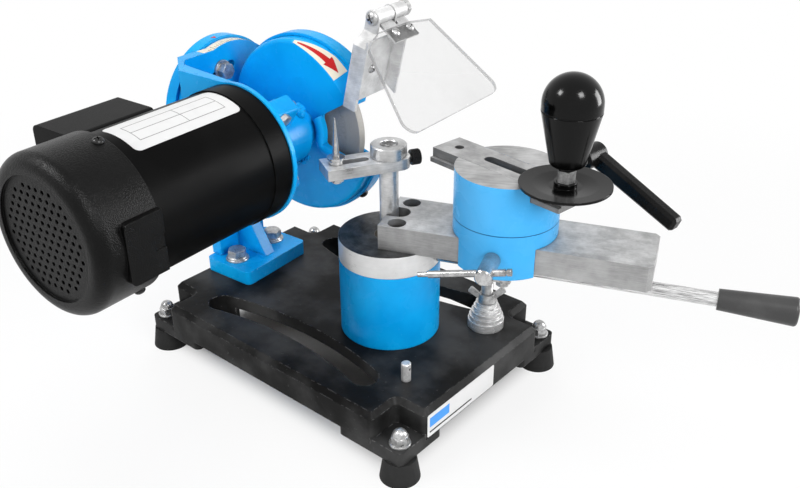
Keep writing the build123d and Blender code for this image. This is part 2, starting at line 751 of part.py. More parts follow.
# Washers, hexagons and domes of the cap nuts on the ledges, each with the stud of its foot
with BuildPart() as foot_nuts:
    with BuildSketch(BASE.offset(FOOT_SOLE + HOLE_PLAY)):
        with GridLocations(*FOOT_GRID, 2, 2):
            Circle(STUD_R)
    extrude(amount=LEDGE + WASHER_T - FOOT_SOLE)
    with BuildSketch(BASE.offset(LEDGE)):
        with GridLocations(*FOOT_GRID, 2, 2):
            Circle(FOOT_WASHER_R)
    extrude(amount=WASHER_T)
    with BuildSketch(BASE.offset(LEDGE + WASHER_T)):
        with GridLocations(*FOOT_GRID, 2, 2):
            RegularPolygon(NUT_R, 6)
    extrude(amount=NUT_H)
    with Locations(BASE.offset(LEDGE + WASHER_T + NUT_H)):
        with GridLocations(*FOOT_GRID, 2, 2):
            Sphere(DOME_R)
foot_nuts.part.label = "foot_nuts"
export_step(foot_nuts.part, "parts/foot_nuts.step")

# Pillar, bored for the stop post and tapped from below
with BuildPart() as pillar:
    with BuildSketch(PILLAR.offset(BASE_TOP)):
        Circle(PILLAR_R)
    extrude(amount=PILLAR_H)
    with BuildSketch(PILLAR.offset(PILLAR_TOP)):
        Circle(POST_R + SEAT)
    extrude(amount=-POST_DEEP, mode=Mode.SUBTRACT)
    with BuildSketch(PILLAR.offset(BASE_TOP)):
        with PolarLocations(PILLAR_SCREW_PITCH, 3):
            Circle(PILLAR_SCREW_R + SEAT)
    extrude(amount=PILLAR_SCREW_DEEP, mode=Mode.SUBTRACT)
pillar.part.label = "pillar"
export_step(pillar.part, "parts/pillar.step")

# Socket screws that hold the pillar from under the base
with BuildPart() as pillar_screws:
    with BuildSketch(PILLAR.offset(SKIRT_LOW)):
        with PolarLocations(PILLAR_SCREW_PITCH, 3):
            Circle(CAP_HEAD_R)
    extrude(amount=-CAP_HEAD_H)
    with BuildSketch(PILLAR.offset(SKIRT_LOW)):
        with PolarLocations(PILLAR_SCREW_PITCH, 3):
            Circle(PILLAR_SCREW_R)
    extrude(amount=BASE_TOP + PILLAR_SCREW_DEEP - SKIRT_LOW - HOLE_PLAY)
    with BuildSketch(PILLAR.offset(SKIRT_LOW - CAP_HEAD_H)):
        with PolarLocations(PILLAR_SCREW_PITCH, 3):
            RegularPolygon(CAP_KEY_R, 6)
    extrude(amount=CAP_KEY_DEEP, mode=Mode.SUBTRACT)
pillar_screws.part.label = "pillar_screws"
export_step(pillar_screws.part, "parts/pillar_screws.step")

# Ground post: the pivot of the arm below, the seat of the stop above
with BuildPart() as post:
    with BuildSketch(PILLAR.offset(PILLAR_TOP - POST_DEEP)):
        Circle(POST_R)
    extrude(amount=CAP_LOW - PILLAR_TOP + POST_DEEP)
    with BuildSketch(PILLAR.offset(CAP_LOW)):
        Circle(CAP_STEM_R + SEAT)
    extrude(amount=-CAP_STEM_L - HOLE_PLAY, mode=Mode.SUBTRACT)
post.part.label = "post"
export_step(post.part, "parts/post.step")

# Cap of the post: a thick ring with a six-sided socket and one flat
with BuildPart() as post_cap:
    with BuildSketch(turned(PILLAR, CAP_FLAT_TURN).offset(CAP_LOW)):
        Circle(CAP_R)
        with Locations((CAP_FLAT + CAP_R, 0)):
            Rectangle(2 * CAP_R, 2 * CAP_R, mode=Mode.SUBTRACT)
    extrude(amount=CAP_H)
    chamfer(post_cap.faces().sort_by(Axis.Z)[-1].edges(), CAP_EDGE)
    with BuildSketch(PILLAR.offset(CAP_LOW + CAP_H)):
        RegularPolygon(CAP_SOCKET_R, 6)
    extrude(amount=-CAP_SOCKET_DEEP, mode=Mode.SUBTRACT)
    with BuildSketch(PILLAR.offset(CAP_LOW)):
        Circle(CAP_STEM_R)
    extrude(amount=-CAP_STEM_L)
post_cap.part.label = "post_cap"
export_step(post_cap.part, "parts/post_cap.step")

# Stop arm: swings about the post and carries the finger in a lengthwise slot
with BuildPart() as stop_arm:
    with BuildSketch(STOP.offset(STOP_LOW)) as stop_plan:
        with Locations(((STOP_REACH - STOP_BACK) / 2, 0)):
            Rectangle(STOP_REACH + STOP_BACK, STOP_W)
        fillet(stop_plan.vertices().group_by(Axis.X)[0], STOP_BACK_ROUND)
        Circle(POST_R + RUN_FIT, mode=Mode.SUBTRACT)
        with Locations(((STOP_SLOT_FROM + STOP_SLOT_TO) / 2, 0)):
            SlotCenterToCenter(STOP_SLOT_TO - STOP_SLOT_FROM, 2 * STOP_SLOT_R, mode=Mode.SUBTRACT)
    extrude(amount=STOP_T)
    with BuildSketch(STOP_END):
        Circle(CLAMP_SCREW_R + SEAT)
    extrude(amount=STOP_BACK, mode=Mode.SUBTRACT)
stop_arm.part.label = "stop_arm"
export_step(stop_arm.part, "parts/stop_arm.step")

# Socket screw that clamps the stop arm on the post
with BuildPart() as stop_screw:
    with BuildSketch(STOP_END.offset(-CLAMP_HEAD_OUT)):
        Circle(CLAMP_HEAD_R)
    extrude(amount=-CLAMP_HEAD_L)
    with BuildSketch(STOP_END.offset(-CLAMP_HEAD_OUT)):
        Circle(CLAMP_SCREW_R)
    extrude(amount=CLAMP_HEAD_OUT + STOP_BACK - POST_R - RUN_FREE)
    with BuildSketch(STOP_END.offset(-CLAMP_HEAD_OUT - CLAMP_HEAD_L)):
        RegularPolygon(CAP_KEY_R, 6)
    extrude(amount=CAP_KEY_DEEP, mode=Mode.SUBTRACT)
stop_screw.part.label = "stop_screw"
export_step(stop_screw.part, "parts/stop_screw.step")

# Stop finger: a slender cone on a stepped seat, with its nut under the arm
with BuildPart() as stop_finger:
    with BuildSketch(FINGER_CUT):
        with BuildLine():
            Polyline(
                (0, STOP_LOW - RUN_FLAT - FINGER_NUT_H - FINGER_TAIL),
                (FINGER_STEM_R, STOP_LOW - RUN_FLAT - FINGER_NUT_H - FINGER_TAIL),
                (FINGER_STEM_R, CAP_LOW),
                (FINGER_SEAT_R, CAP_LOW),
                (FINGER_SEAT_R, CAP_LOW + FINGER_SEAT_H),
                (FINGER_RING_R, CAP_LOW + FINGER_SEAT_H),
                (FINGER_RING_R, FINGER_FOOT),
                (FINGER_ROOT_R, FINGER_FOOT),
                (FINGER_TIP_R, FINGER_FOOT + FINGER_H),
                (0, FINGER_FOOT + FINGER_H),
                close=True,
            )
        make_face()
    revolve(axis=Axis(FINGER_CUT.origin, (0, 0, 1)))
    with BuildSketch(FINGER.offset(STOP_LOW - RUN_FLAT)):
        RegularPolygon(FINGER_NUT_R, 6)
    extrude(amount=-FINGER_NUT_H)
stop_finger.part.label = "stop_finger"
export_step(stop_finger.part, "parts/stop_finger.step")

# Turning collar under the bar, bored for its bush, the lever and the bar's screws
with BuildPart() as collar:
    with BuildSketch(ARM.offset(COLLAR_LOW)):
        Circle(PILLAR_R)
        Circle(BUSH_R + SEAT, mode=Mode.SUBTRACT)
    extrude(amount=COLLAR_H)
    with BuildSketch(LEVER.offset(LEVER_IN - SEAT)):
        Circle(LEVER_R + SEAT)
    extrude(amount=PILLAR_R, mode=Mode.SUBTRACT)
    with BuildSketch(ARM.offset(COLLAR_TOP)):
        with Locations(*BAR_SCREWS):
            Circle(BAR_SCREW_R + SEAT)
    extrude(amount=-BAR_SCREW_GRIP - HOLE_PLAY, mode=Mode.SUBTRACT)
collar.part.label = "collar"
export_step(collar.part, "parts/collar.step")

# Bronze bush of the collar, turning on the post
with BuildPart() as pivot_bush:
    with BuildSketch(ARM.offset(COLLAR_LOW)):
        Circle(BUSH_R)
        Circle(POST_R + RUN_FIT, mode=Mode.SUBTRACT)
    extrude(amount=COLLAR_H - SEAT)
pivot_bush.part.label = "pivot_bush"
export_step(pivot_bush.part, "parts/pivot_bush.step")

# Guide bar, with an open notch round the post and two deep screw pockets
with BuildPart() as bar:
    with BuildSketch(ARM.offset(BAR_LOW)) as bar_plan:
        with Locations((BAR_L / 2, 0)):
            Rectangle(BAR_L, BAR_W)
        chamfer(bar_plan.vertices().group_by(Axis.X)[-1], BAR_END_CUT)
        with Locations((BAR_NOTCH_IN / 2, 0)):
            Rectangle(BAR_NOTCH_IN, 2 * (POST_R + BAR_NOTCH_PLAY), mode=Mode.SUBTRACT)
        with Locations((BAR_NOTCH_IN, 0)):
            Circle(POST_R + BAR_NOTCH_PLAY, mode=Mode.SUBTRACT)
    extrude(amount=BAR_T)
    with Locations(ARM.offset(BAR_TOP)):
        with Locations(*BAR_SCREWS):
            CounterBoreHole(BAR_SCREW_R + HOLE_PLAY, BAR_BORE_R, BAR_BORE_DEEP, BAR_T)
bar.part.label = "bar"
export_step(bar.part, "parts/bar.step")

# Socket screws in the bar's pockets
with BuildPart() as bar_screws:
    with BuildSketch(ARM.offset(BAR_TOP - BAR_BORE_DEEP)):
        with Locations(*BAR_SCREWS):
            Circle(CAP_HEAD_R)
    extrude(amount=CAP_HEAD_H)
    with BuildSketch(ARM.offset(BAR_TOP - BAR_BORE_DEEP)):
        with Locations(*BAR_SCREWS):
            Circle(BAR_SCREW_R)
    extrude(amount=-(BAR_T - BAR_BORE_DEEP + BAR_SCREW_GRIP))
    with BuildSketch(ARM.offset(BAR_TOP - BAR_BORE_DEEP + CAP_HEAD_H)):
        with Locations(*BAR_SCREWS):
            RegularPolygon(CAP_KEY_R, 6)
    extrude(amount=-CAP_KEY_DEEP, mode=Mode.SUBTRACT)
bar_screws.part.label = "bar_screws"
export_step(bar_screws.part, "parts/bar_screws.step")

# Feed lever: a rod screwed into the collar's side
with BuildPart() as lever_rod:
    with BuildSketch(LEVER.offset(LEVER_IN)):
        Circle(LEVER_R)
    extrude(amount=LEVER_OUT - LEVER_IN)
lever_rod.part.label = "lever_rod"
export_step(lever_rod.part, "parts/lever_rod.step")

# Grip of the feed lever, widening to its end
with BuildPart() as lever_grip:
    with BuildSketch(LEVER_CUT):
        with BuildLine():
            Polyline(
                (GRIP_FROM, LEVER_R + SEAT),
                (GRIP_FROM, GRIP_NECK_R),
                (GRIP_TO, GRIP_END_R),
                (GRIP_TO, 0),
                (LEVER_OUT + SEAT, 0),
                (LEVER_OUT + SEAT, LEVER_R + SEAT),
                close=True,
            )
        make_face()
    revolve(axis=Axis(LEVER.origin, ARM.x_dir))
    fillet(lever_grip.edges().filter_by(GeomType.CIRCLE).sort_by(SortBy.RADIUS)[-1], GRIP_ROUND)
lever_grip.part.label = "lever_grip"
export_step(lever_grip.part, "parts/lever_grip.step")

# Carriage saddle: rides astride the bar, with flats on its legs
with BuildPart() as saddle:
    with BuildSketch(CARRIAGE.offset(SADDLE_LOW)):
        Circle(SADDLE_R)
    extrude(amount=SEAM - SADDLE_LOW)
    with BuildSketch(CARRIAGE.offset(SADDLE_LOW)):
        Rectangle(2 * SADDLE_R, BAR_W + 2 * RUN_FLAT)
        with Locations((SADDLE_FLAT + SADDLE_R / 2, 0), (-SADDLE_FLAT - SADDLE_R / 2, 0)):
            Rectangle(SADDLE_R, 2 * SADDLE_R)
    extrude(amount=BAR_TOP + RUN_FLAT - SADDLE_LOW, mode=Mode.SUBTRACT)
    with BuildSketch(CARRIAGE.offset(SEAM)):
        Circle(PIVOT_R + SEAT)
    extrude(amount=-PIVOT_IN - SEAT, mode=Mode.SUBTRACT)
    with BuildSketch(LOCK.offset(BAR_W / 2)):
        Circle(LOCK_R + RUN_FIT)
    extrude(amount=SADDLE_R, mode=Mode.SUBTRACT)
    with BuildSketch(CARRIAGE.offset(SADDLE_LOW)):
        with GridLocations(*KEEPER_GRID, 2, 2):
            Circle(KEEPER_BOLT_R + SEAT)
    extrude(amount=KEEPER_BOLT_IN + SEAT, mode=Mode.SUBTRACT)
saddle.part.label = "saddle"
export_step(saddle.part, "parts/saddle.step")

# Keeper plate under the saddle, with a rib that reaches up to the bar
with BuildPart() as keeper_plate:
    with BuildSketch(CARRIAGE.offset(SADDLE_LOW)):
        Rectangle(KEEPER_L, KEEPER_W)
        with GridLocations(*KEEPER_GRID, 2, 2):
            Circle(KEEPER_BOLT_R + HOLE_PLAY, mode=Mode.SUBTRACT)
    extrude(amount=-KEEPER_T)
    with BuildSketch(CARRIAGE.offset(SADDLE_LOW)):
        Rectangle(KEEPER_L, BAR_W)
    extrude(amount=SADDLE_DROP - RUN_FLAT)
keeper_plate.part.label = "keeper_plate"
export_step(keeper_plate.part, "parts/keeper_plate.step")

# Hexagon bolts of the keeper plate
with BuildPart() as keeper_bolts:
    with BuildSketch(CARRIAGE.offset(SADDLE_LOW - KEEPER_T)):
        with GridLocations(*KEEPER_GRID, 2, 2):
            RegularPolygon(KEEPER_HEX_R, 6)
    extrude(amount=-KEEPER_HEX_H)
    with BuildSketch(CARRIAGE.offset(SADDLE_LOW - KEEPER_T)):
        with GridLocations(*KEEPER_GRID, 2, 2):
            Circle(KEEPER_BOLT_R)
    extrude(amount=KEEPER_T + KEEPER_BOLT_IN)
keeper_bolts.part.label = "keeper_bolts"
export_step(keeper_bolts.part, "parts/keeper_bolts.step")

# Locking screw of the carriage, cross-drilled for its sliding bar
with BuildPart() as lock_screw:
    with BuildSketch(LOCK.offset(LOCK_TIP)):
        Circle(LOCK_R)
    extrude(amount=LOCK_FACE - LOCK_TIP)
    with BuildSketch(LOCK.offset(LOCK_FACE)):
        Circle(LOCK_HEAD_R)
    extrude(amount=LOCK_HEAD_L)
    chamfer(lock_screw.edges().filter_by(GeomType.CIRCLE).sort_by(LOCK_AXIS)[-1], LOCK_EDGE)
    with BuildSketch(TOMMY.offset(-2 * LOCK_HEAD_R)):
        Circle(TOMMY_R + RUN_FIT)
    extrude(amount=4 * LOCK_HEAD_R, mode=Mode.SUBTRACT)
lock_screw.part.label = "lock_screw"
export_step(lock_screw.part, "parts/lock_screw.step")

# Sliding bar of the locking screw, thin at one tip and grooved at the other
with BuildPart() as tommy_bar:
    with BuildSketch(TOMMY_CUT):
        with BuildLine():
            Polyline(
                (-TOMMY_LONG, 0),
                (-TOMMY_LONG, TOMMY_TIP_R),
                (-TOMMY_LONG + TOMMY_TIP_L, TOMMY_TIP_R),
                (-TOMMY_LONG + TOMMY_TIP_L, TOMMY_R),
                (TOMMY_SHORT - 3 * TOMMY_GROOVE, TOMMY_R),
                (TOMMY_SHORT - 3 * TOMMY_GROOVE, TOMMY_TIP_R),
                (TOMMY_SHORT - 2 * TOMMY_GROOVE, TOMMY_TIP_R),
                (TOMMY_SHORT - 2 * TOMMY_GROOVE, TOMMY_R),
                (TOMMY_SHORT, TOMMY_R),
                (TOMMY_SHORT, 0),
                close=True,
            )
        make_face()
    revolve(axis=Axis(TOMMY.origin, TOMMY.z_dir))
tommy_bar.part.label = "tommy_bar"
export_step(tommy_bar.part, "parts/tommy_bar.step")

# Turret: turns on the saddle and guides the top slide in a stepped groove
with BuildPart() as turret:
    with BuildSketch(SLIDE.offset(TURRET_LOW)):
        Circle(SADDLE_R)
    extrude(amount=TURRET_H)
    with BuildSketch(SLIDE.offset(GROOVE_LOW)):
        Rectangle(2 * SADDLE_R, SLIDE_FOOT_W + 2 * RUN_FLAT)
    extrude(amount=SLIDE_FOOT_T + 2 * RUN_FLAT, mode=Mode.SUBTRACT)
    with BuildSketch(SLIDE.offset(TURRET_TOP)):
        Rectangle(2 * SADDLE_R, SLIDE_W + 2 * RUN_FLAT)
    extrude(amount=-SLIDE_T, mode=Mode.SUBTRACT)
    with BuildSketch(SLIDE.offset(TURRET_LOW)):
        Circle(PIVOT_R + RUN_FIT)
    extrude(amount=TURRET_H, mode=Mode.SUBTRACT)
    with BuildSketch(SLIDE.offset(POCKET_LOW)):
        Circle(PIVOT_POCKET_R)
    extrude(amount=SLIDE_T, mode=Mode.SUBTRACT)
    with BuildSketch(CLAMP_LEVER.offset(-SLIDE_W / 2)):
        Circle(CLAMP_LEVER_ROD_R + RUN_FIT)
    extrude(amount=-SADDLE_R, mode=Mode.SUBTRACT)
turret.part.label = "turret"
export_step(turret.part, "parts/turret.step")

# Centre bolt of the turret, screwed into the saddle
with BuildPart() as turret_bolt:
    with BuildSketch(CARRIAGE.offset(POCKET_LOW + RUN_FLAT)):
        Circle(PIVOT_HEAD_R)
    extrude(amount=PIVOT_HEAD_H)
    with BuildSketch(CARRIAGE.offset(SEAM - PIVOT_IN)):
        Circle(PIVOT_R)
    extrude(amount=POCKET_LOW + RUN_FLAT - SEAM + PIVOT_IN)
    with BuildSketch(CARRIAGE.offset(POCKET_LOW + RUN_FLAT + PIVOT_HEAD_H)):
        RegularPolygon(PIVOT_KEY_R, 6)
    extrude(amount=-CAP_KEY_DEEP, mode=Mode.SUBTRACT)
turret_bolt.part.label = "turret_bolt"
export_step(turret_bolt.part, "parts/turret_bolt.step")

# Top slide: a stepped bar with a long slot, flush with the turret
with BuildPart() as top_slide:
    with BuildSketch(SLIDE.offset(SLIDE_LOW)):
        with Locations(((SLIDE_OUT - SLIDE_IN) / 2, 0)):
            Rectangle(SLIDE_OUT + SLIDE_IN, SLIDE_FOOT_W)
    extrude(amount=SLIDE_FOOT_T)
    with BuildSketch(SLIDE.offset(SLIDE_STEP)):
        with Locations(((SLIDE_OUT - SLIDE_IN) / 2, 0)):
            Rectangle(SLIDE_OUT + SLIDE_IN, SLIDE_W)
    extrude(amount=SLIDE_T - SLIDE_FOOT_T)
    with BuildSketch(SLIDE.offset(TURRET_TOP)):
        with Locations(((SLIDE_SLOT_FROM + SLIDE_SLOT_TO) / 2, 0)):
            SlotCenterToCenter(SLIDE_SLOT_TO - SLIDE_SLOT_FROM, 2 * SLIDE_SLOT_R)
        with Locations((SLIDE_HOLE_AT, 0)):
            Circle(SLIDE_HOLE_R)
        with Locations((CLAMP_AT, 0)):
            Circle(CLAMP_STUD_R + SEAT)
    extrude(amount=-SLIDE_T, mode=Mode.SUBTRACT)
top_slide.part.label = "top_slide"
export_step(top_slide.part, "parts/top_slide.step")

# Threaded stud of the blade clamp
with BuildPart() as clamp_stud:
    with BuildSketch(CLAMP.offset(SLIDE_LOW)):
        Circle(CLAMP_STUD_R)
    extrude(amount=SLIDE_T + CLAMP_STUD_H)
clamp_stud.part.label = "clamp_stud"
export_step(clamp_stud.part, "parts/clamp_stud.step")

# Pressed clamping dish
with BuildPart() as dish:
    with BuildSketch(CLAMP_CUT):
        with BuildLine():
            Polyline(
                (CLAMP_STUD_R + RUN_FIT, DISH_LOW),
                (DISH_HUB_R, DISH_LOW),
                (DISH_R, DISH_LOW + DISH_RISE - DISH_T),
                (DISH_R, DISH_LOW + DISH_RISE),
                (DISH_BOWL_R, DISH_LOW + DISH_RISE - DISH_FALL),
                (DISH_HUB_R, DISH_LOW + DISH_T),
                (DISH_BOSS_R, DISH_LOW + DISH_T),
                (DISH_BOSS_R, DISH_LOW + DISH_BOSS_H),
                (CLAMP_STUD_R + RUN_FIT, DISH_LOW + DISH_BOSS_H),
                close=True,
            )
        make_face()
    revolve(axis=Axis(CLAMP.origin, (0, 0, 1)))
dish.part.label = "dish"
export_step(dish.part, "parts/dish.step")

# Nut under the clamping knob
with BuildPart() as clamp_nut:
    with BuildSketch(CLAMP.offset(KNOB_NUT_LOW)):
        RegularPolygon(CLAMP_NUT_R, 6)
        Circle(CLAMP_STUD_R + RUN_FIT, mode=Mode.SUBTRACT)
    extrude(amount=CLAMP_NUT_H)
clamp_nut.part.label = "clamp_nut"
export_step(clamp_nut.part, "parts/clamp_nut.step")

# Pear-shaped clamping knob with a seam below its round top
with BuildPart() as knob:
    with BuildSketch(CLAMP_CUT):
        with BuildLine():
            Polyline(
                (0, KNOB_WIDE + KNOB_R),
                (0, TURRET_TOP + CLAMP_STUD_H + HOLE_PLAY),
                (CLAMP_STUD_R + RUN_FIT, TURRET_TOP + CLAMP_STUD_H + HOLE_PLAY),
                (CLAMP_STUD_R + RUN_FIT, KNOB_NECK),
                (KNOB_NECK_R, KNOB_NECK),
                (KNOB_NECK_R, KNOB_LOW),
                (KNOB_LOW_R, KNOB_LOW),
                (KNOB_R, KNOB_WIDE - KNOB_SEAM),
                (KNOB_R - KNOB_SEAM_IN, KNOB_WIDE - KNOB_SEAM),
                (KNOB_R - KNOB_SEAM_IN, KNOB_WIDE - KNOB_SEAM + KNOB_SEAM_T),
                (KNOB_R, KNOB_WIDE - KNOB_SEAM + KNOB_SEAM_T),
                (KNOB_R, KNOB_WIDE),
            )
            RadiusArc((KNOB_R, KNOB_WIDE), (0, KNOB_WIDE + KNOB_R), -KNOB_R)
        make_face()
    revolve(axis=Axis(CLAMP.origin, (0, 0, 1)))
    knob_edges = knob.edges().filter_by(GeomType.CIRCLE).group_by(Axis.Z)[1]
    fillet(knob_edges.sort_by(SortBy.RADIUS)[-1], KNOB_BASE_ROUND)
knob.part.label = "knob"
export_step(knob.part, "parts/knob.step")

# Hub and arm of the slide's clamp lever
with BuildPart() as clamp_lever:
    with BuildSketch(CLAMP_LEVER_FACE):
        with BuildLine():
            Polyline(
                (0, -CLAMP_LEVER_W / 2),
                (CLAMP_LEVER_L, -CLAMP_LEVER_TIP_W / 2),
                (CLAMP_LEVER_L, CLAMP_LEVER_TIP_W / 2),
                (0, CLAMP_LEVER_W / 2),
                close=True,
            )
        make_face()
    extrude(amount=CLAMP_LEVER_T)
    chamfer(clamp_lever.edges(), CLAMP_LEVER_BEVEL)
    with BuildSketch(CLAMP_LEVER_FACE):
        Circle(CLAMP_LEVER_HUB_R)
    extrude(amount=CLAMP_LEVER_HUB_L)
    with BuildSketch(CLAMP_LEVER.offset(-CLAMP_LEVER_HUB_IN)):
        Circle(CLAMP_LEVER_ROD_R + SEAT)
    extrude(amount=-CLAMP_LEVER_GRIP - SEAT, mode=Mode.SUBTRACT)
clamp_lever.part.label = "clamp_lever"
export_step(clamp_lever.part, "parts/clamp_lever.step")

# Screw of the clamp lever, pressing on the side of the top slide
with BuildPart() as clamp_screw:
    with BuildSketch(CLAMP_LEVER.offset(-SLIDE_W / 2 - RUN_FLAT)):
        Circle(CLAMP_LEVER_ROD_R)
    extrude(amount=-(CLAMP_LEVER_HUB_IN + CLAMP_LEVER_GRIP - SLIDE_W / 2 - RUN_FLAT))
    with BuildSketch(CLAMP_LEVER.offset(-CLAMP_LEVER_HUB_IN)):
        Circle(CLAMP_LEVER_NECK_R)
    extrude(amount=CLAMP_LEVER_NECK_L)
clamp_screw.part.label = "clamp_screw"
export_step(clamp_screw.part, "parts/clamp_screw.step")

# Centring rings, stored one on another
with BuildPart() as centring_rings:
    for number, radius in enumerate(RING_R):
        with BuildSketch(RINGS.offset(BASE_TOP + sum(RING_H[:number]))):
            Circle(radius)
            Circle(RING_STUD_R + RING_PLAY, mode=Mode.SUBTRACT)
        extrude(amount=RING_H[number] - SEAT)
centring_rings.part.label = "centring_rings"
export_step(centring_rings.part, "parts/centring_rings.step")

# Stud of the stored rings
with BuildPart() as ring_stud:
    with BuildSketch(RINGS.offset(BASE_TOP - RING_STUD_IN)):
        Circle(RING_STUD_R)
    extrude(amount=RING_STUD_IN + RING_STUD_H)
ring_stud.part.label = "ring_stud"
export_step(ring_stud.part, "parts/ring_stud.step")

# Wing nut on the stored rings
with BuildPart() as wing_nut:
    with BuildSketch(RINGS.offset(RINGS_TOP + RUN_FLAT)):
        Circle(WING_HUB_R)
    extrude(amount=WING_HUB_H, taper=WING_TAPER)
    with BuildSketch(WING) as wings:
        with BuildLine():
            Polyline(
                (WING_ROOT, WING_T),
                (WING_HUB_R, WING_T),
                (WING_SPAN, WING_RISE),
                (WING_SPAN - WING_T, WING_RISE + WING_TIP),
                (WING_ROOT, WING_HUB_H),
                close=True,
            )
        make_face()
        fillet(wings.vertices().group_by(Axis.Y)[-1], WING_T / 2)
        mirror(about=Plane.YZ)
    extrude(amount=WING_T / 2, both=True)
    with BuildSketch(RINGS.offset(RINGS_TOP)):
        Circle(RING_STUD_R + RUN_FIT)
    extrude(amount=RING_STUD_H, mode=Mode.SUBTRACT)
wing_nut.part.label = "wing_nut"
export_step(wing_nut.part, "parts/wing_nut.step")

# Peg with an eye at the front of the base
with BuildPart() as peg:
    with BuildSketch(PEG.offset(BASE_TOP - PEG_IN)):
        Circle(PEG_R)
    extrude(amount=PEG_IN + PEG_H)
    chamfer(peg.edges().sort_by(Axis.Z)[-1], PEG_EDGE)
    with BuildSketch(Plane(PEG.offset(BASE_TOP + PEG_EYE_UP).origin, z_dir=(1, 0, 0))):
        Circle(PEG_EYE_R)
    extrude(amount=PEG_R, both=True, mode=Mode.SUBTRACT)
peg.part.label = "peg"
export_step(peg.part, "parts/peg.step")

# Stand: foot, upright, swivel disc and rib in one casting
with BuildPart() as stand:
    with BuildSketch(STAND.offset(BASE_TOP)):
        with Locations((STAND_FOOT_AT, STAND_FOOT_SIDE)):
            RectangleRounded(STAND_FOOT_L, STAND_FOOT_W, CORNER_R)
    extrude(amount=STAND_FOOT_T)
    with BuildSketch(SWIVEL.offset(STAND_FACE)):
        with BuildLine():
            Polyline(
                (STAND_FOOT_SIDE - SWIVEL_FORE - STAND_NECK_W / 2, STAND_TOP - HEAD_Z),
                (STAND_FOOT_SIDE - SWIVEL_FORE + STAND_NECK_W / 2, STAND_TOP - HEAD_Z),
                (STAND_NECK_W / 2, 0),
                (-STAND_NECK_W / 2, 0),
                close=True,
            )
        make_face()
        Circle(STAND_DISC_R)
        Circle(SWIVEL_PIN_R + SEAT, mode=Mode.SUBTRACT)
        with Locations(*SWIVEL_BOLTS):
            Circle(SWIVEL_BOLT_R + SEAT, mode=Mode.SUBTRACT)
    extrude(amount=-STAND_T)
    with BuildSketch(RIB):
        with BuildLine():
            Polyline((0, 0), (STAND_RIB_OUT, 0), (0, STAND_RIB_UP), close=True)
        make_face()
    extrude(amount=STAND_RIB_T / 2, both=True)
    with BuildSketch(STAND.offset(STAND_TOP)):
        with Locations(*STAND_BOLTS):
            Circle(STAND_BOLT_R + HOLE_PLAY)
    extrude(amount=-STAND_FOOT_T, mode=Mode.SUBTRACT)
stand.part.label = "stand"
export_step(stand.part, "parts/stand.step")

# Hexagon bolts and washers of the stand's foot
with BuildPart() as stand_bolts:
    with BuildSketch(STAND.offset(STAND_TOP)):
        with Locations(*STAND_BOLTS):
            Circle(STAND_WASHER_R)
    extrude(amount=WASHER_T)
    with BuildSketch(STAND.offset(STAND_TOP + WASHER_T)):
        with Locations(*STAND_BOLTS):
            RegularPolygon(STAND_HEX_R, 6)
    extrude(amount=STAND_HEX_H)
    with BuildSketch(STAND.offset(STAND_TOP)):
        with Locations(*STAND_BOLTS):
            Circle(STAND_BOLT_R)
    extrude(amount=-STAND_FOOT_T - STAND_BOLT_IN)
stand_bolts.part.label = "stand_bolts"
export_step(stand_bolts.part, "parts/stand_bolts.step")

# Pin in the middle of the swivel
with BuildPart() as swivel_pin:
    with BuildSketch(SWIVEL.offset(STAND_FACE - STAND_T)):
        Circle(SWIVEL_PIN_R)
    extrude(amount=STAND_T + RUN_FLAT + HEAD_DISC_T)
swivel_pin.part.label = "swivel_pin"
export_step(swivel_pin.part, "parts/swivel_pin.step")

# Clamp bolts of the swivel, held in the stand and passing the head's curved slots
with BuildPart() as swivel_bolts:
    with BuildSketch(SWIVEL.offset(STAND_FACE - STAND_T)):
        with Locations(*SWIVEL_BOLTS):
            Circle(SWIVEL_BOLT_R)
    extrude(amount=HEAD_DISC_FACE + RUN_FLAT + SWIVEL_WASHER_T - STAND_FACE + STAND_T)
    with BuildSketch(SWIVEL.offset(HEAD_DISC_FACE + RUN_FLAT)):
        with Locations(*SWIVEL_BOLTS):
            Circle(SWIVEL_WASHER_R)
    extrude(amount=SWIVEL_WASHER_T)
    with BuildSketch(SWIVEL.offset(HEAD_DISC_FACE + RUN_FLAT + SWIVEL_WASHER_T)):
        with Locations(*SWIVEL_BOLTS):
            RegularPolygon(SWIVEL_HEX_R, 6)
    extrude(amount=SWIVEL_HEX_H)
swivel_bolts.part.label = "swivel_bolts"
export_step(swivel_bolts.part, "parts/swivel_bolts.step")

# centre lines of the curved slots that let the head tilt
tilt_high = CenterArc((0, 0), SWIVEL_BOLT_PITCH, 90 + SWIVEL_BOLT_TURN - SWIVEL_TILT, 2 * SWIVEL_TILT)
tilt_low = CenterArc((0, 0), SWIVEL_BOLT_PITCH, -90 - SWIVEL_BOLT_TURN - SWIVEL_TILT, 2 * SWIVEL_TILT)

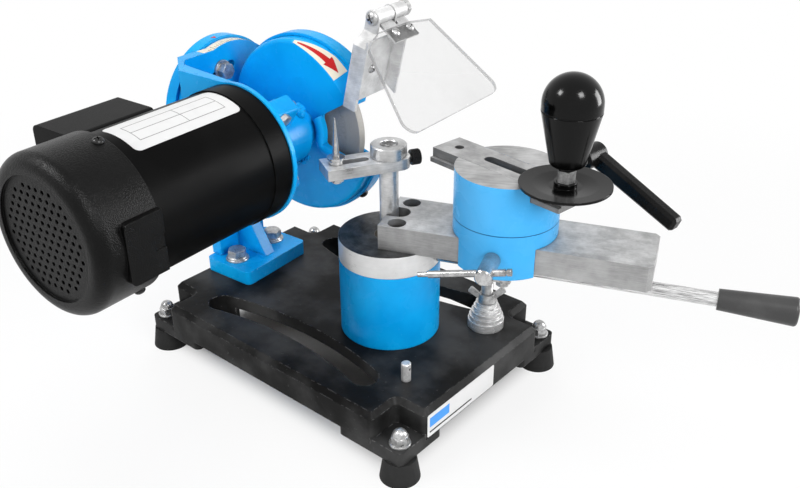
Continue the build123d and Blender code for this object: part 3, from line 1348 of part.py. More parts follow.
# Head bracket: swivel disc, motor flange, bearing boss and lugs in one casting
with BuildPart() as head_bracket:
    with BuildSketch(HEAD.offset(BOSS_FRONT)):
        Circle(BOSS_R)
    extrude(amount=FLANGE_AFT - BOSS_FRONT)
    chamfer(head_bracket.edges().filter_by(GeomType.CIRCLE).sort_by(HEAD_AXIS)[0], BOSS_EDGE)
    with BuildSketch(SWIVEL.offset(HEAD_DISC_LOW)):
        Circle(HEAD_DISC_R)
    extrude(amount=HEAD_DISC_T)
    with BuildSketch(STAND.offset(HEAD_Z - HEAD_LOW)):
        with BuildLine():
            Polyline(
                (0, -FLANGE_AFT),
                (-HEAD_CORNER, -FLANGE_AFT),
                (HEAD_DISC_LOW, -HEAD_EDGE_AFT),
                (HEAD_DISC_LOW, SWIVEL_FORE),
                (HEAD_DISC_FACE, SWIVEL_FORE),
                (HEAD_DISC_FACE, -HEAD_POCKET_AFT),
                (-HEAD_ARM_FROM, HEAD_ARM_T - FLANGE_AFT),
                (0, HEAD_ARM_THIN - FLANGE_AFT),
                close=True,
            )
        make_face()
    extrude(amount=HEAD_LOW + HEAD_TOP)
    with BuildSketch(SWIVEL.offset(HEAD_DISC_LOW)):
        Circle(SWIVEL_PIN_R + RUN_FIT)
        SlotArc(tilt_high, 2 * (SWIVEL_BOLT_R + RUN_FREE))
        SlotArc(tilt_low, 2 * (SWIVEL_BOLT_R + RUN_FREE))
    extrude(amount=HEAD_DISC_T, mode=Mode.SUBTRACT)
    with BuildSketch(HEAD.offset(FLANGE_FRONT)):
        Circle(FLANGE_R)
    extrude(amount=FLANGE_T)
    with BuildSketch(STAND.offset(HEAD_Z)):
        with BuildLine():
            Polyline(
                (HEAD_DISC_FACE, -FLANGE_FRONT),
                (HEAD_DISC_FACE, 0),
                (-BOSS_R, -BOSS_FRONT - HEAD_RIB_T),
                (-BOSS_R / 2, -FLANGE_FRONT),
                close=True,
            )
        make_face()
    extrude(amount=HEAD_RIB_T / 2, both=True)
    for turn in LUG_TURNS:
        with BuildSketch(turned(HEAD, turn).offset(LUG_FRONT)):
            with Locations(((BOSS_R + LUG_REACH) / 2 - BOSS_EDGE, 0)):
                RectangleRounded(LUG_REACH - BOSS_R + 2 * BOSS_EDGE, LUG_W, BOSS_EDGE)
        extrude(amount=FLANGE_AFT - LUG_FRONT - FLANGE_T / 2)
        with BuildSketch(turned(HEAD, turn).offset(LUG_FRONT)):
            with Locations((LUG_BOLT_OUT, 0)):
                Circle(LUG_BOLT_R + SEAT)
        extrude(amount=LUG_BOLT_IN + SEAT, mode=Mode.SUBTRACT)
    with BuildSketch(HEAD.offset(FLANGE_AFT)):
        Circle(BEARING_R + SEAT)
    extrude(amount=BEARING_FRONT - FLANGE_AFT, mode=Mode.SUBTRACT)
    with BuildSketch(HEAD.offset(FLANGE_AFT)):
        Circle(GUARD_BORE_R)
    extrude(amount=BOSS_FRONT - FLANGE_AFT, mode=Mode.SUBTRACT)
head_bracket.part.label = "head_bracket"
export_step(head_bracket.part, "parts/head_bracket.step")

# Hexagon bolts in the bracket's lugs
with BuildPart() as lug_bolts:
    for turn in LUG_TURNS:
        with BuildSketch(turned(HEAD, turn).offset(LUG_FRONT)):
            with Locations((LUG_BOLT_OUT, 0)):
                RegularPolygon(LUG_HEX_R, 6)
        extrude(amount=-LUG_HEX_H)
        with BuildSketch(turned(HEAD, turn).offset(LUG_FRONT)):
            with Locations((LUG_BOLT_OUT, 0)):
                Circle(LUG_BOLT_R)
        extrude(amount=LUG_BOLT_IN)
lug_bolts.part.label = "lug_bolts"
export_step(lug_bolts.part, "parts/lug_bolts.step")

# Motor: a drawn can with its front band, rear wall and wound core
with BuildPart() as motor_can:
    with BuildSketch(HEAD.offset(FLANGE_AFT)):
        Circle(CAN_R)
    extrude(amount=CAN_AFT - FLANGE_AFT)
    with BuildSketch(HEAD.offset(FLANGE_AFT)):
        Circle(BAND_R)
    extrude(amount=BAND_L)
    with BuildSketch(HEAD.offset(FLANGE_AFT)):
        Circle(CAN_R - CAN_T)
    extrude(amount=STATOR_FROM - FLANGE_AFT, mode=Mode.SUBTRACT)
    with BuildSketch(HEAD.offset(STATOR_FROM)):
        Circle(STATOR_BORE_R)
    extrude(amount=STATOR_L, mode=Mode.SUBTRACT)
    with BuildSketch(HEAD.offset(STATOR_FROM + STATOR_L)):
        Circle(CAN_R - CAN_T)
    extrude(amount=BELL_FROM - STATOR_FROM - STATOR_L, mode=Mode.SUBTRACT)
    with BuildSketch(HEAD.offset(BELL_FROM)):
        Circle(BEARING_R + SEAT)
    extrude(amount=BEARING_T, mode=Mode.SUBTRACT)
    with BuildSketch(HEAD.offset(BELL_FROM)):
        Circle(GUARD_BORE_R)
    extrude(amount=BELL_T, mode=Mode.SUBTRACT)
    for seat in COVER_SPOKES:
        with BuildSketch(seat):
            Circle(COVER_SCREW_R + SEAT)
        extrude(amount=-COVER_SCREW_IN - SEAT, mode=Mode.SUBTRACT)
motor_can.part.label = "motor_can"
export_step(motor_can.part, "parts/motor_can.step")

# Two bearings of the motor shaft
with BuildPart() as bearings:
    for place in (BEARING_FRONT, BELL_FROM):
        with BuildSketch(HEAD.offset(place)):
            Circle(BEARING_R)
            Circle(SHAFT_R + RUN_FIT, mode=Mode.SUBTRACT)
        extrude(amount=BEARING_T)
bearings.part.label = "bearings"
export_step(bearings.part, "parts/bearings.step")

# Rotor: the shaft from fan to wheel, with the wound core's inner part
with BuildPart() as rotor:
    with BuildSketch(HEAD.offset(-SHAFT_FRONT)):
        Circle(SHAFT_R)
    extrude(amount=SHAFT_FRONT + SHAFT_AFT)
    with BuildSketch(HEAD.offset(STATOR_FROM)):
        Circle(CORE_R)
    extrude(amount=STATOR_L)
rotor.part.label = "rotor"
export_step(rotor.part, "parts/rotor.step")

# Cooling fan behind the motor: a plate with straight blades
with BuildPart() as fan:
    with BuildSketch(HEAD.offset(FAN_AFT)):
        Circle(FAN_R)
    extrude(amount=FAN_PLATE_T)
    with BuildSketch(HEAD.offset(FAN_AFT)):
        Circle(FAN_HUB_R)
        with PolarLocations((FAN_BLADE_IN + FAN_BLADE_OUT) / 2, FAN_BLADES):
            Rectangle(FAN_BLADE_OUT - FAN_BLADE_IN, FAN_BLADE_T)
    extrude(amount=FAN_L)
    with BuildSketch(HEAD.offset(FAN_AFT)):
        Circle(SHAFT_R + SEAT)
    extrude(amount=FAN_L, mode=Mode.SUBTRACT)
fan.part.label = "fan"
export_step(fan.part, "parts/fan.step")

# Fan cover: a rounded cap with a sunk, perforated end and a flat pad on its side
with BuildPart() as fan_cover:
    with BuildSketch(HEAD.offset(COVER_FROM)):
        Circle(COVER_R)
    extrude(amount=COVER_AFT - COVER_FROM)
    fillet(fan_cover.edges().filter_by(GeomType.CIRCLE).sort_by(HEAD_AXIS)[-1], COVER_ROUND)
    with BuildSketch(PAD.offset(-PAD_FACE)):
        with Locations((PAD_DEEP / 2, (PAD_HIGH_EDGE - PAD_LOW_EDGE) / 2)):
            RectangleRounded(PAD_DEEP, PAD_HIGH_EDGE + PAD_LOW_EDGE, PAD_ROUND)
        with Locations((PAD_ROUND / 2, (PAD_HIGH_EDGE - PAD_LOW_EDGE) / 2)):
            Rectangle(PAD_ROUND, PAD_HIGH_EDGE + PAD_LOW_EDGE)
    extrude(amount=PAD_FACE - BEARING_R)
    with BuildSketch(PAD.offset(-PAD_FACE)):
        with Locations((PAD_NOTCH_L / 2, (PAD_HIGH_EDGE - PAD_LOW_EDGE) / 2)):
            Rectangle(PAD_NOTCH_L, PAD_NOTCH_W)
    extrude(amount=PAD_NOTCH_T, mode=Mode.SUBTRACT)
    with BuildSketch(HEAD.offset(COVER_AFT)):
        Circle(GRILLE_R)
    extrude(amount=-GRILLE_DEEP, mode=Mode.SUBTRACT)
    with BuildSketch(HEAD.offset(COVER_FROM)):
        Circle(CAN_R + SEAT)
    extrude(amount=COVER_LAP, mode=Mode.SUBTRACT)
    with BuildSketch(HEAD_CUT):
        with BuildLine():
            Polyline(
                (COVER_FROM + COVER_LAP, 0),
                (COVER_FROM + COVER_LAP, COVER_R - COVER_WALL),
                (COVER_AFT - COVER_ROUND, COVER_R - COVER_WALL),
                (COVER_AFT - GRILLE_DEEP - COVER_WALL, COVER_R - COVER_ROUND),
                (COVER_AFT - GRILLE_DEEP - COVER_WALL, 0),
                close=True,
            )
        make_face()
    revolve(axis=HEAD_AXIS, mode=Mode.SUBTRACT)
    with BuildSketch(HEAD.offset(COVER_AFT - GRILLE_DEEP)):
        with Locations(*GRILLE_SPOTS):
            RegularPolygon(GRILLE_HOLE_R, 6)
    extrude(amount=-COVER_WALL, mode=Mode.SUBTRACT)
    for seat in COVER_SPOKES:
        with BuildSketch(seat):
            Circle(COVER_SCREW_R + HOLE_PLAY)
        extrude(amount=-COVER_SCREW_IN, mode=Mode.SUBTRACT)
fan_cover.part.label = "fan_cover"
export_step(fan_cover.part, "parts/fan_cover.step")

# Small round-headed screws of the fan cover and of the guard's lid
with BuildPart() as cover_screws:
    for seat in COVER_SPOKES + LID_SPOKES:
        with BuildSketch(seat):
            Circle(COVER_SCREW_HEAD_R)
        extrude(amount=COVER_SCREW_HEAD_H, taper=COVER_SCREW_TAPER)
    for seat in COVER_SPOKES:
        with BuildSketch(seat):
            Circle(COVER_SCREW_R)
        extrude(amount=-COVER_SCREW_IN)
    for seat in LID_SPOKES:
        with BuildSketch(seat):
            Circle(COVER_SCREW_R)
        extrude(amount=-LID_WALL - GUARD_WALL)
cover_screws.part.label = "cover_screws"
export_step(cover_screws.part, "parts/cover_screws.step")

# Terminal box with the pockets of the two buttons
with BuildPart() as terminal_box:
    with BuildSketch(HEAD.offset(BOX_FROM)):
        with Locations((-(BOX_OUT + BOX_IN) / 2, (BOX_TOP - BOX_LOW) / 2)):
            RectangleRounded(BOX_OUT - BOX_IN, BOX_TOP + BOX_LOW, BOX_ROUND)
    extrude(amount=BOX_TO - BOX_FROM)
    with BuildSketch(HEAD.offset(BOX_FROM)):
        Circle(CAN_R + SEAT)
    extrude(amount=BOX_TO - BOX_FROM, mode=Mode.SUBTRACT)
    with BuildSketch(BUTTONS):
        with GridLocations(BUTTON_PITCH, 0, 2, 1):
            Circle(BUTTON_R + RUN_FREE)
    extrude(amount=-BUTTON_DEEP, mode=Mode.SUBTRACT)
terminal_box.part.label = "terminal_box"
export_step(terminal_box.part, "parts/terminal_box.step")

# Start button
with BuildPart() as start_button:
    with BuildSketch(BUTTONS.offset(-BUTTON_IN)):
        with Locations((BUTTON_PITCH / 2, 0)):
            Circle(BUTTON_R)
    extrude(amount=BUTTON_IN + BUTTON_OUT)
start_button.part.label = "start_button"
export_step(start_button.part, "parts/start_button.step")

# Stop button, standing out further
with BuildPart() as stop_button:
    with BuildSketch(BUTTONS.offset(-BUTTON_IN)):
        with Locations((-BUTTON_PITCH / 2, 0)):
            Circle(BUTTON_R)
    extrude(amount=BUTTON_IN + STOP_BUTTON_OUT)
stop_button.part.label = "stop_button"
export_step(stop_button.part, "parts/stop_button.step")

# Cable gland under the terminal box
with BuildPart() as cable_gland:
    with BuildSketch(GLAND):
        RegularPolygon(GLAND_R, 6)
    extrude(amount=GLAND_NUT_H)
    with BuildSketch(GLAND.offset(GLAND_NUT_H)):
        Circle(GLAND_DOME_R)
    extrude(amount=GLAND_DOME_H, taper=COVER_SCREW_TAPER)
    with BuildSketch(GLAND):
        Circle(GLAND_BORE_R)
    extrude(amount=GLAND_NUT_H + GLAND_DOME_H, mode=Mode.SUBTRACT)
cable_gland.part.label = "cable_gland"
export_step(cable_gland.part, "parts/cable_gland.step")

# Grinding wheel: a plain back, a bevelled rim and a shallow cone in front
with BuildPart() as wheel:
    with BuildSketch(HEAD_CUT):
        with BuildLine():
            Polyline(
                (-WHEEL_FRONT, SHAFT_R + SEAT),
                (-WHEEL_FRONT, WHEEL_FACE_R),
                (-WHEEL_FRONT - WHEEL_DISH, WHEEL_CONE_R),
                (-WHEEL_BACK + WHEEL_RIM, WHEEL_R),
                (-WHEEL_BACK, WHEEL_R),
                (-WHEEL_BACK, SHAFT_R + SEAT),
                close=True,
            )
        make_face()
    revolve(axis=HEAD_AXIS)
wheel.part.label = "wheel"
export_step(wheel.part, "parts/wheel.step")

# Wheel flanges on both sides and the wheel nut
with BuildPart() as wheel_flanges:
    with BuildSketch(HEAD.offset(-WHEEL_FRONT)):
        Circle(WHEEL_FLANGE_R)
        Circle(SHAFT_R + SEAT, mode=Mode.SUBTRACT)
    extrude(amount=WHEEL_FLANGE_T)
    with BuildSketch(HEAD.offset(-WHEEL_BACK)):
        Circle(WHEEL_FLANGE_R)
        Circle(SHAFT_R + SEAT, mode=Mode.SUBTRACT)
    extrude(amount=-WHEEL_FLANGE_T)
    with BuildSketch(HEAD.offset(-WHEEL_BACK - WHEEL_FLANGE_T)):
        RegularPolygon(WHEEL_NUT_R, 6)
        Circle(SHAFT_R + SEAT, mode=Mode.SUBTRACT)
    extrude(amount=-WHEEL_NUT_H)
wheel_flanges.part.label = "wheel_flanges"
export_step(wheel_flanges.part, "parts/wheel_flanges.step")

# Wheel guard: a drum with a bevelled shoulder, an opening for the blade and a hub to the boss
with BuildPart() as guard:
    with BuildSketch(HEAD.offset(-GUARD_FRONT)):
        Circle(GUARD_R)
    extrude(amount=GUARD_FRONT - GUARD_BACK)
    fillet(guard.faces().sort_by(HEAD_AXIS)[-1].edges(), GUARD_ROUND)
    with BuildSketch(SHOULDER):
        with BuildLine():
            Polyline(
                (0, SHOULDER_R),
                (0, SHOULDER_R + SHOULDER_DEEP),
                (-SHOULDER_DEEP, SHOULDER_R + SHOULDER_DEEP),
                close=True,
            )
        make_face()
    revolve(axis=Axis(SHOULDER.origin, HEAD.z_dir), mode=Mode.SUBTRACT)
    offset(amount=-GUARD_WALL, openings=guard.faces().sort_by(HEAD_AXIS)[0])
    with BuildSketch(HEAD.offset(-GUARD_FRONT - GUARD_WALL)):
        Circle(GUARD_HUB_R)
    extrude(amount=GUARD_FRONT + GUARD_WALL + BOSS_FRONT)
    with BuildSketch(HEAD.offset(BOSS_FRONT)):
        Circle(GUARD_BORE_R)
    extrude(amount=-GUARD_BACK, mode=Mode.SUBTRACT)
    with BuildLine(HEAD.offset(-GUARD_FRONT)) as bead:
        CenterArc((0, 0), OPEN_IN_R - BEAD_OUT, BEAD_LOW, OPEN_HIGH - BEAD_LOW)
        PolarLine(bead.line @ 0, BEAD_REACH - OPEN_IN_R, OPEN_LOW)
        fillet(bead.vertices().sort_by(Axis.Z)[1], BEAD_ROUND)
    with BuildSketch(Plane(bead.line @ 0, z_dir=bead.line % 0)):
        Circle(BEAD_R)
    sweep(path=bead.line)
    with BuildSketch(HEAD.offset(BEAD_R)) as opening:
        with BuildLine():
            Polyline(
                (0, 0),
                (2 * GUARD_R, 2 * GUARD_R * math.tan(math.radians(OPEN_LOW))),
                (2 * GUARD_R, 2 * GUARD_R * math.tan(math.radians(OPEN_HIGH))),
                close=True,
            )
        make_face()
        Circle(OPEN_IN_R, mode=Mode.SUBTRACT)
        fillet(opening.vertices().group_by(Axis.X)[0], OPEN_ROUND)
    extrude(amount=-LID_BACK - BEAD_R, mode=Mode.SUBTRACT)
    with BuildSketch(STRIP.offset(-STRIP_T)):
        with Locations((0, STRIP_LUG_UP)):
            Rectangle(STRIP_LUG_W, STRIP_LUG_H)
    extrude(amount=-STRIP_LUG_T)
    for seat in LID_SPOKES:
        with BuildSketch(seat):
            Circle(COVER_SCREW_R + SEAT)
        extrude(amount=-LID_WALL - 2 * GUARD_WALL, mode=Mode.SUBTRACT)
guard.part.label = "guard"
export_step(guard.part, "parts/guard.step")

# Guard lid: a cap over the drum with a dome over the wheel nut, open in the same sector
with BuildPart() as guard_lid:
    with BuildSketch(HEAD.offset(-LID_FRONT)):
        Circle(LID_R)
    extrude(amount=LID_FRONT - LID_BACK)
    fillet(guard_lid.edges().filter_by(GeomType.CIRCLE).sort_by(HEAD_AXIS)[0], LID_ROUND)
    with BuildSketch(HEAD.offset(-LID_BACK)):
        Circle(LID_DOME_R)
    extrude(amount=-LID_DOME_H, taper=COVER_SCREW_TAPER)
    with BuildSketch(HEAD.offset(-LID_FRONT)):
        Circle(LID_R - LID_WALL)
    extrude(amount=LID_FRONT - LID_BACK + LID_WALL, mode=Mode.SUBTRACT)
    with BuildSketch(HEAD.offset(-LID_FRONT)):
        Circle(LID_DOME_R - 2 * LID_WALL)
    extrude(amount=LID_FRONT - LID_BACK - LID_DOME_H + LID_WALL, mode=Mode.SUBTRACT)
    with BuildSketch(HEAD):
        with BuildLine():
            Polyline(
                (0, 0),
                (2 * GUARD_R, 2 * GUARD_R * math.tan(math.radians(OPEN_LOW))),
                (2 * GUARD_R, 2 * GUARD_R * math.tan(math.radians(OPEN_HIGH))),
                close=True,
            )
        make_face()
        Circle(LID_OPEN_R, mode=Mode.SUBTRACT)
    extrude(amount=-LID_BACK - LID_DOME_H, mode=Mode.SUBTRACT)
    for seat in LID_SPOKES:
        with BuildSketch(seat):
            Circle(COVER_SCREW_R + HOLE_PLAY)
        extrude(amount=-LID_WALL - SEAT, mode=Mode.SUBTRACT)
guard_lid.part.label = "guard_lid"
export_step(guard_lid.part, "parts/guard_lid.step")

# Strip that carries the near end of the shield's hinge, cranked past the guard
with BuildPart() as shield_strip:
    with BuildSketch(STRIP_EDGE):
        with BuildLine():
            Polyline(
                (-STRIP_FOOT, 0),
                (STRIP_LOW_L, 0),
                (STRIP_JOG_L, -STRIP_JOG),
                (HINGE_L + HINGE_EAR_R, -STRIP_JOG),
                (HINGE_L + HINGE_EAR_R, -STRIP_JOG - STRIP_T),
                (STRIP_JOG_L - STRIP_T / 2, -STRIP_JOG - STRIP_T),
                (STRIP_LOW_L - STRIP_T / 2, -STRIP_T),
                (-STRIP_FOOT, -STRIP_T),
                close=True,
            )
        make_face()
    extrude(amount=HINGE_EAR_R, both=True)
    with BuildSketch(STRIP):
        with Locations((0, (HINGE_L - STRIP_FOOT) / 2)):
            Rectangle(STRIP_W, HINGE_L + STRIP_FOOT)
        with Locations((0, HINGE_L)):
            Circle(HINGE_EAR_R)
            Circle(HINGE_BOLT_R + SEAT, mode=Mode.SUBTRACT)
    extrude(amount=-WEB_BACK, mode=Mode.INTERSECT)
    with BuildSketch(STRIP):
        with Locations(((STRIP_W - STRIP_T) / 2, (TAB_FROM + TAB_TO) / 2)):
            Rectangle(STRIP_T, TAB_TO - TAB_FROM)
    extrude(amount=-TAB_BACK)
    with BuildSketch(TAB):
        Circle(TAB_SCREW_R + SEAT)
    extrude(amount=-STRIP_T, mode=Mode.SUBTRACT)
shield_strip.part.label = "shield_strip"
export_step(shield_strip.part, "parts/shield_strip.step")

# Bent bracket beside the strip, carrying the far end of the hinge
with BuildPart() as shield_bracket:
    with BuildSketch(STRIP):
        with Locations(((STRIP_W + WEB_T) / 2 + SEAT, (WEB_FROM + WEB_TO) / 2)):
            Rectangle(WEB_T, WEB_TO - WEB_FROM)
    extrude(amount=-WEB_BACK)
    with BuildSketch(TAB):
        Circle(TAB_SCREW_R + HOLE_PLAY)
    extrude(amount=WEB_T + SEAT, mode=Mode.SUBTRACT)
    with BuildSketch(STRIP.offset(WEB_T - WEB_BACK)):
        with BuildLine():
            Polyline(
                (STRIP_W / 2 + SEAT, EAR_LOW_IN),
                (STRIP_W / 2 + EAR_OUT, EAR_LOW),
                (STRIP_W / 2 + EAR_OUT, EAR_HIGH),
                (HINGE_EAR_R, EAR_HIGH_IN),
                (HINGE_EAR_R, HINGE_L),
                (-HINGE_EAR_R, HINGE_L),
                (STRIP_W / 2 + SEAT, WEB_TO - EAR_OUT),
                close=True,
            )
        make_face()
        with Locations((0, HINGE_L)):
            Circle(HINGE_EAR_R)
            Circle(HINGE_BOLT_R + SEAT, mode=Mode.SUBTRACT)
    extrude(amount=-WEB_T)
shield_bracket.part.label = "shield_bracket"
export_step(shield_bracket.part, "parts/shield_bracket.step")

# Hinge bolt of the shield with its round head and nut, and the screw between bracket and strip
with BuildPart() as shield_bolt:
    with BuildSketch(HINGE.offset(-STRIP_JOG)):
        Circle(HINGE_HEAD_R)
    extrude(amount=HINGE_HEAD_H, taper=COVER_SCREW_TAPER)
    with BuildSketch(HINGE.offset(-STRIP_JOG)):
        Circle(HINGE_BOLT_R)
    extrude(amount=STRIP_JOG - HINGE_NUT_AT - HINGE_NUT_H - HINGE_TAIL)
    with BuildSketch(HINGE.offset(-HINGE_NUT_AT)):
        RegularPolygon(HINGE_NUT_R, 6)
    extrude(amount=-HINGE_NUT_H)
    with BuildSketch(TAB.offset(WEB_T + SEAT)):
        Circle(TAB_SCREW_HEAD_R)
    extrude(amount=TAB_SCREW_HEAD_H, taper=COVER_SCREW_TAPER)
    with BuildSketch(TAB.offset(WEB_T + SEAT)):
        Circle(TAB_SCREW_R)
    extrude(amount=-WEB_T - SEAT - STRIP_T - TAB_SCREW_HEAD_H)
    with BuildSketch(TAB.offset(-STRIP_T)):
        RegularPolygon(TAB_SCREW_HEAD_R, 6)
    extrude(amount=-TAB_SCREW_HEAD_H)
shield_bolt.part.label = "shield_bolt"
export_step(shield_bolt.part, "parts/shield_bolt.step")

# Hinge sleeve with the leaf that carries the shield
with BuildPart() as shield_leaf:
    with BuildSketch(SHIELD.offset(-SHIELD_T / 2)):
        with Locations((LEAF_REACH / 2, (SLEEVE_NEAR + KNUCKLE_FAR) / 2)):
            Rectangle(LEAF_REACH, KNUCKLE_FAR - SLEEVE_NEAR - 2 * LEAF_END)
    extrude(amount=-LEAF_T)
    with BuildSketch(HINGE.offset(-SLEEVE_NEAR)):
        Circle(SLEEVE_R)
    extrude(amount=SLEEVE_NEAR - KNUCKLE_FAR)
    with BuildSketch(HINGE.offset(RUN_FREE + WEB_T - WEB_BACK)):
        Circle(LEAF_NOTCH)
    extrude(amount=-WEB_T - 2 * RUN_FREE, mode=Mode.SUBTRACT)
    with BuildSketch(HINGE.offset(-SLEEVE_NEAR)):
        Circle(HINGE_BOLT_R + RUN_FIT)
    extrude(amount=SLEEVE_NEAR - KNUCKLE_FAR, mode=Mode.SUBTRACT)
    with BuildSketch(SHIELD):
        with Locations(*SHIELD_SCREWS):
            Circle(SHIELD_SCREW_R + HOLE_PLAY)
    extrude(amount=-SHIELD_T - LEAF_T, mode=Mode.SUBTRACT)
shield_leaf.part.label = "shield_leaf"
export_step(shield_leaf.part, "parts/shield_leaf.step")

# Clear eye shield, wider towards its lower edge
with BuildPart() as shield:
    with BuildSketch(SHIELD.offset(-SHIELD_T / 2)) as pane:
        with BuildLine():
            Polyline(
                (SHIELD_TOP, SHIELD_TOP_FROM),
                (SHIELD_TOP, SHIELD_TOP_TO),
                (SHIELD_FAR_DOWN, SHIELD_FAR),
                (SHIELD_LOW, SHIELD_LOW_FAR),
                (SHIELD_LOW, -SHIELD_LOW_NEAR),
                (SHIELD_NEAR_DOWN, -SHIELD_NEAR),
                close=True,
            )
        make_face()
        fillet(pane.vertices().group_by(Axis.X)[-1], SHIELD_ROUND)
        fillet(pane.vertices().group_by(Axis.X)[2], SHIELD_NEAR_ROUND)
        with Locations(*SHIELD_SCREWS):
            Circle(SHIELD_SCREW_R + HOLE_PLAY, mode=Mode.SUBTRACT)
    extrude(amount=SHIELD_T)
shield.part.label = "shield"
export_step(shield.part, "parts/shield.step")

# Screws and nuts that hold the shield on its leaf
with BuildPart() as shield_screws:
    with BuildSketch(SHIELD.offset(SHIELD_T / 2)):
        with Locations(*SHIELD_SCREWS):
            Circle(SHIELD_SCREW_HEAD_R)
    extrude(amount=SHIELD_SCREW_HEAD_H, taper=COVER_SCREW_TAPER)
    with BuildSketch(SHIELD.offset(SHIELD_T / 2)):
        with Locations(*SHIELD_SCREWS):
            Circle(SHIELD_SCREW_R)
    extrude(amount=-SHIELD_T - LEAF_T - SHIELD_SCREW_HEAD_H)
    with BuildSketch(SHIELD.offset(-SHIELD_T / 2 - LEAF_T)):
        with Locations(*SHIELD_SCREWS):
            RegularPolygon(SHIELD_SCREW_HEAD_R, 6)
    extrude(amount=-SHIELD_SCREW_HEAD_H)
shield_screws.part.label = "shield_screws"
export_step(shield_screws.part, "parts/shield_screws.step")
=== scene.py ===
"""Looks of the saw blade sharpener.

Finishes for every solid, real fasteners, printed strips and a small studio.
"""

import json
import logging
import math
from contextlib import contextmanager
from dataclasses import dataclass
from enum import Enum
from typing import Any, Callable, Iterator, Sequence

import bmesh
import bpy
from mathutils import Matrix, Vector, noise
from mathutils.bvhtree import BVHTree


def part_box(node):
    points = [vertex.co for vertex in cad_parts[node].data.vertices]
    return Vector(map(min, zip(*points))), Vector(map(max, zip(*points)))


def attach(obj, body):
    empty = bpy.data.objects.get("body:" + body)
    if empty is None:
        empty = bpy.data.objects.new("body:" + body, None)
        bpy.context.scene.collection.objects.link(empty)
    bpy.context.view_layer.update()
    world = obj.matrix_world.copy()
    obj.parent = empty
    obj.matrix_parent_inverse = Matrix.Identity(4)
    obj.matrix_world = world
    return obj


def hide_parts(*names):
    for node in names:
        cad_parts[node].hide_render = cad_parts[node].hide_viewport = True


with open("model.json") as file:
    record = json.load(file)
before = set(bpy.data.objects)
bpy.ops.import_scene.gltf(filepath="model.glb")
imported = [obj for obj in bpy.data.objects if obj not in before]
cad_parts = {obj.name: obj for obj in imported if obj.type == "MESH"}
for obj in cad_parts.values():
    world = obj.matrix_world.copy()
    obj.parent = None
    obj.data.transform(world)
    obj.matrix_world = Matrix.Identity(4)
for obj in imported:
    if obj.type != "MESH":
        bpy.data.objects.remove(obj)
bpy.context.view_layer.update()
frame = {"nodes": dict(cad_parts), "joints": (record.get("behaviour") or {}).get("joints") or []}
LOG = logging.getLogger("sharpener")
MM = 0.001
UP = Vector((0, 0, 1))
RAY_START = 8.0  # how far outside a round side a ray starts, in millimetres
Pair = tuple[float, float]
Triple = tuple[float, float, float]
Colour = tuple[float, float, float, float]
Aim = Callable[[Vector], tuple[Vector, Vector]]
Reach = Callable[[float], Pair]


def ink(red: int, green: int, blue: int) -> Colour:
    """Turn a screen colour into the linear colour that a shader takes.

    Args:
        red: Red from 0 to 255.
        green: Green from 0 to 255.
        blue: Blue from 0 to 255.

    Returns:
        The linear colour, fully opaque.
    """
    parts = [part / 255 for part in (red, green, blue)]
    light = [p / 12.92 if p < 0.04045 else ((p + 0.055) / 1.055) ** 2.4 for p in parts]
    return (light[0], light[1], light[2], 1.0)


def grey(level: int) -> Colour:
    """Give the linear colour of a neutral screen grey."""
    return ink(level, level, level)


@dataclass(frozen=True)
class Place:
    """A local frame on the machine. Its lengths are in millimetres, its origin in metres."""

    origin: Vector
    x: Vector
    z: Vector

    @property
    def y(self) -> Vector:
        """The third direction of the frame."""
        return self.z.cross(self.x)

    def point(self, x: float, y: float, z: float) -> Vector:
        """Give the point with these local coordinates, in metres."""
        return self.origin + MM * (x * self.x + y * self.y + z * self.z)

    def at(self, x: float, y: float, z: float) -> "Place":
        """Give the same frame, moved along its own directions."""
        return Place(self.point(x, y, z), self.x, self.z)

    def turned(self, angle: float) -> "Place":
        """Give the same frame, turned about its own z by an angle in degrees."""
        return Place(self.origin, Matrix.Rotation(math.radians(angle), 3, self.z) @ self.x, self.z)

    def flipped(self) -> "Place":
        """Give the same frame with its z the other way."""
        return Place(self.origin, self.x, -self.z)

    def outward(self) -> "Place":
        """Give the frame whose z looks along this one's x."""
        return Place(self.origin, self.y, self.x)

    def matrix(self) -> Matrix:
        """Give the transform from local coordinates to the machine's frame."""
        basis = Matrix((self.x, self.y, self.z)).transposed()
        return Matrix.Translation(self.origin) @ basis.to_4x4()


JOINTS = {joint["name"]: joint for joint in frame["joints"]}


def joint_axis(name: str) -> Vector:
    """Give the axis of one of the model's joints."""
    return Vector(JOINTS[name]["axis"]).normalized()


def joint_point(name: str) -> Vector:
    """Give the place of one of the model's hinges."""
    return Vector(JOINTS[name]["pos_m"])


def upright(hinge: str, forward: str) -> Place:
    """Give the floor frame of an upright hinge, with x along another joint's axis."""
    return Place(joint_point(hinge) * Vector((1, 1, 0)), joint_axis(forward), UP)


PILLAR = upright("arm_swing", "carriage_travel")
CARRIAGE = upright("turret_turn", "carriage_travel")
TURRET = upright("turret_turn", "top_slide_travel")
CLAMP = upright("knob_turn", "top_slide_travel")
STOP = upright("stop_swing", "finger_travel")
RINGS = upright("wing_turn", "carriage_travel")
STAND = upright("wheel_spin", "head_tilt")
# seen from the fan end: x to the front of the machine, y up, z along the motor towards the fan
HEAD = Place(joint_point("wheel_spin"), joint_axis("head_tilt"), -joint_axis("wheel_spin"))
# x away from the fan, y up, z to the front of the machine
SWIVEL = Place(joint_point("head_tilt"), joint_axis("wheel_spin"), joint_axis("head_tilt"))
HINGE = Place(joint_point("shield_flip"), joint_axis("head_tilt"), joint_axis("shield_flip"))
SHIELD_SLOPE = 39.0
# x down the shield, y square to it
SHIELD = HINGE.turned(-SHIELD_SLOPE)


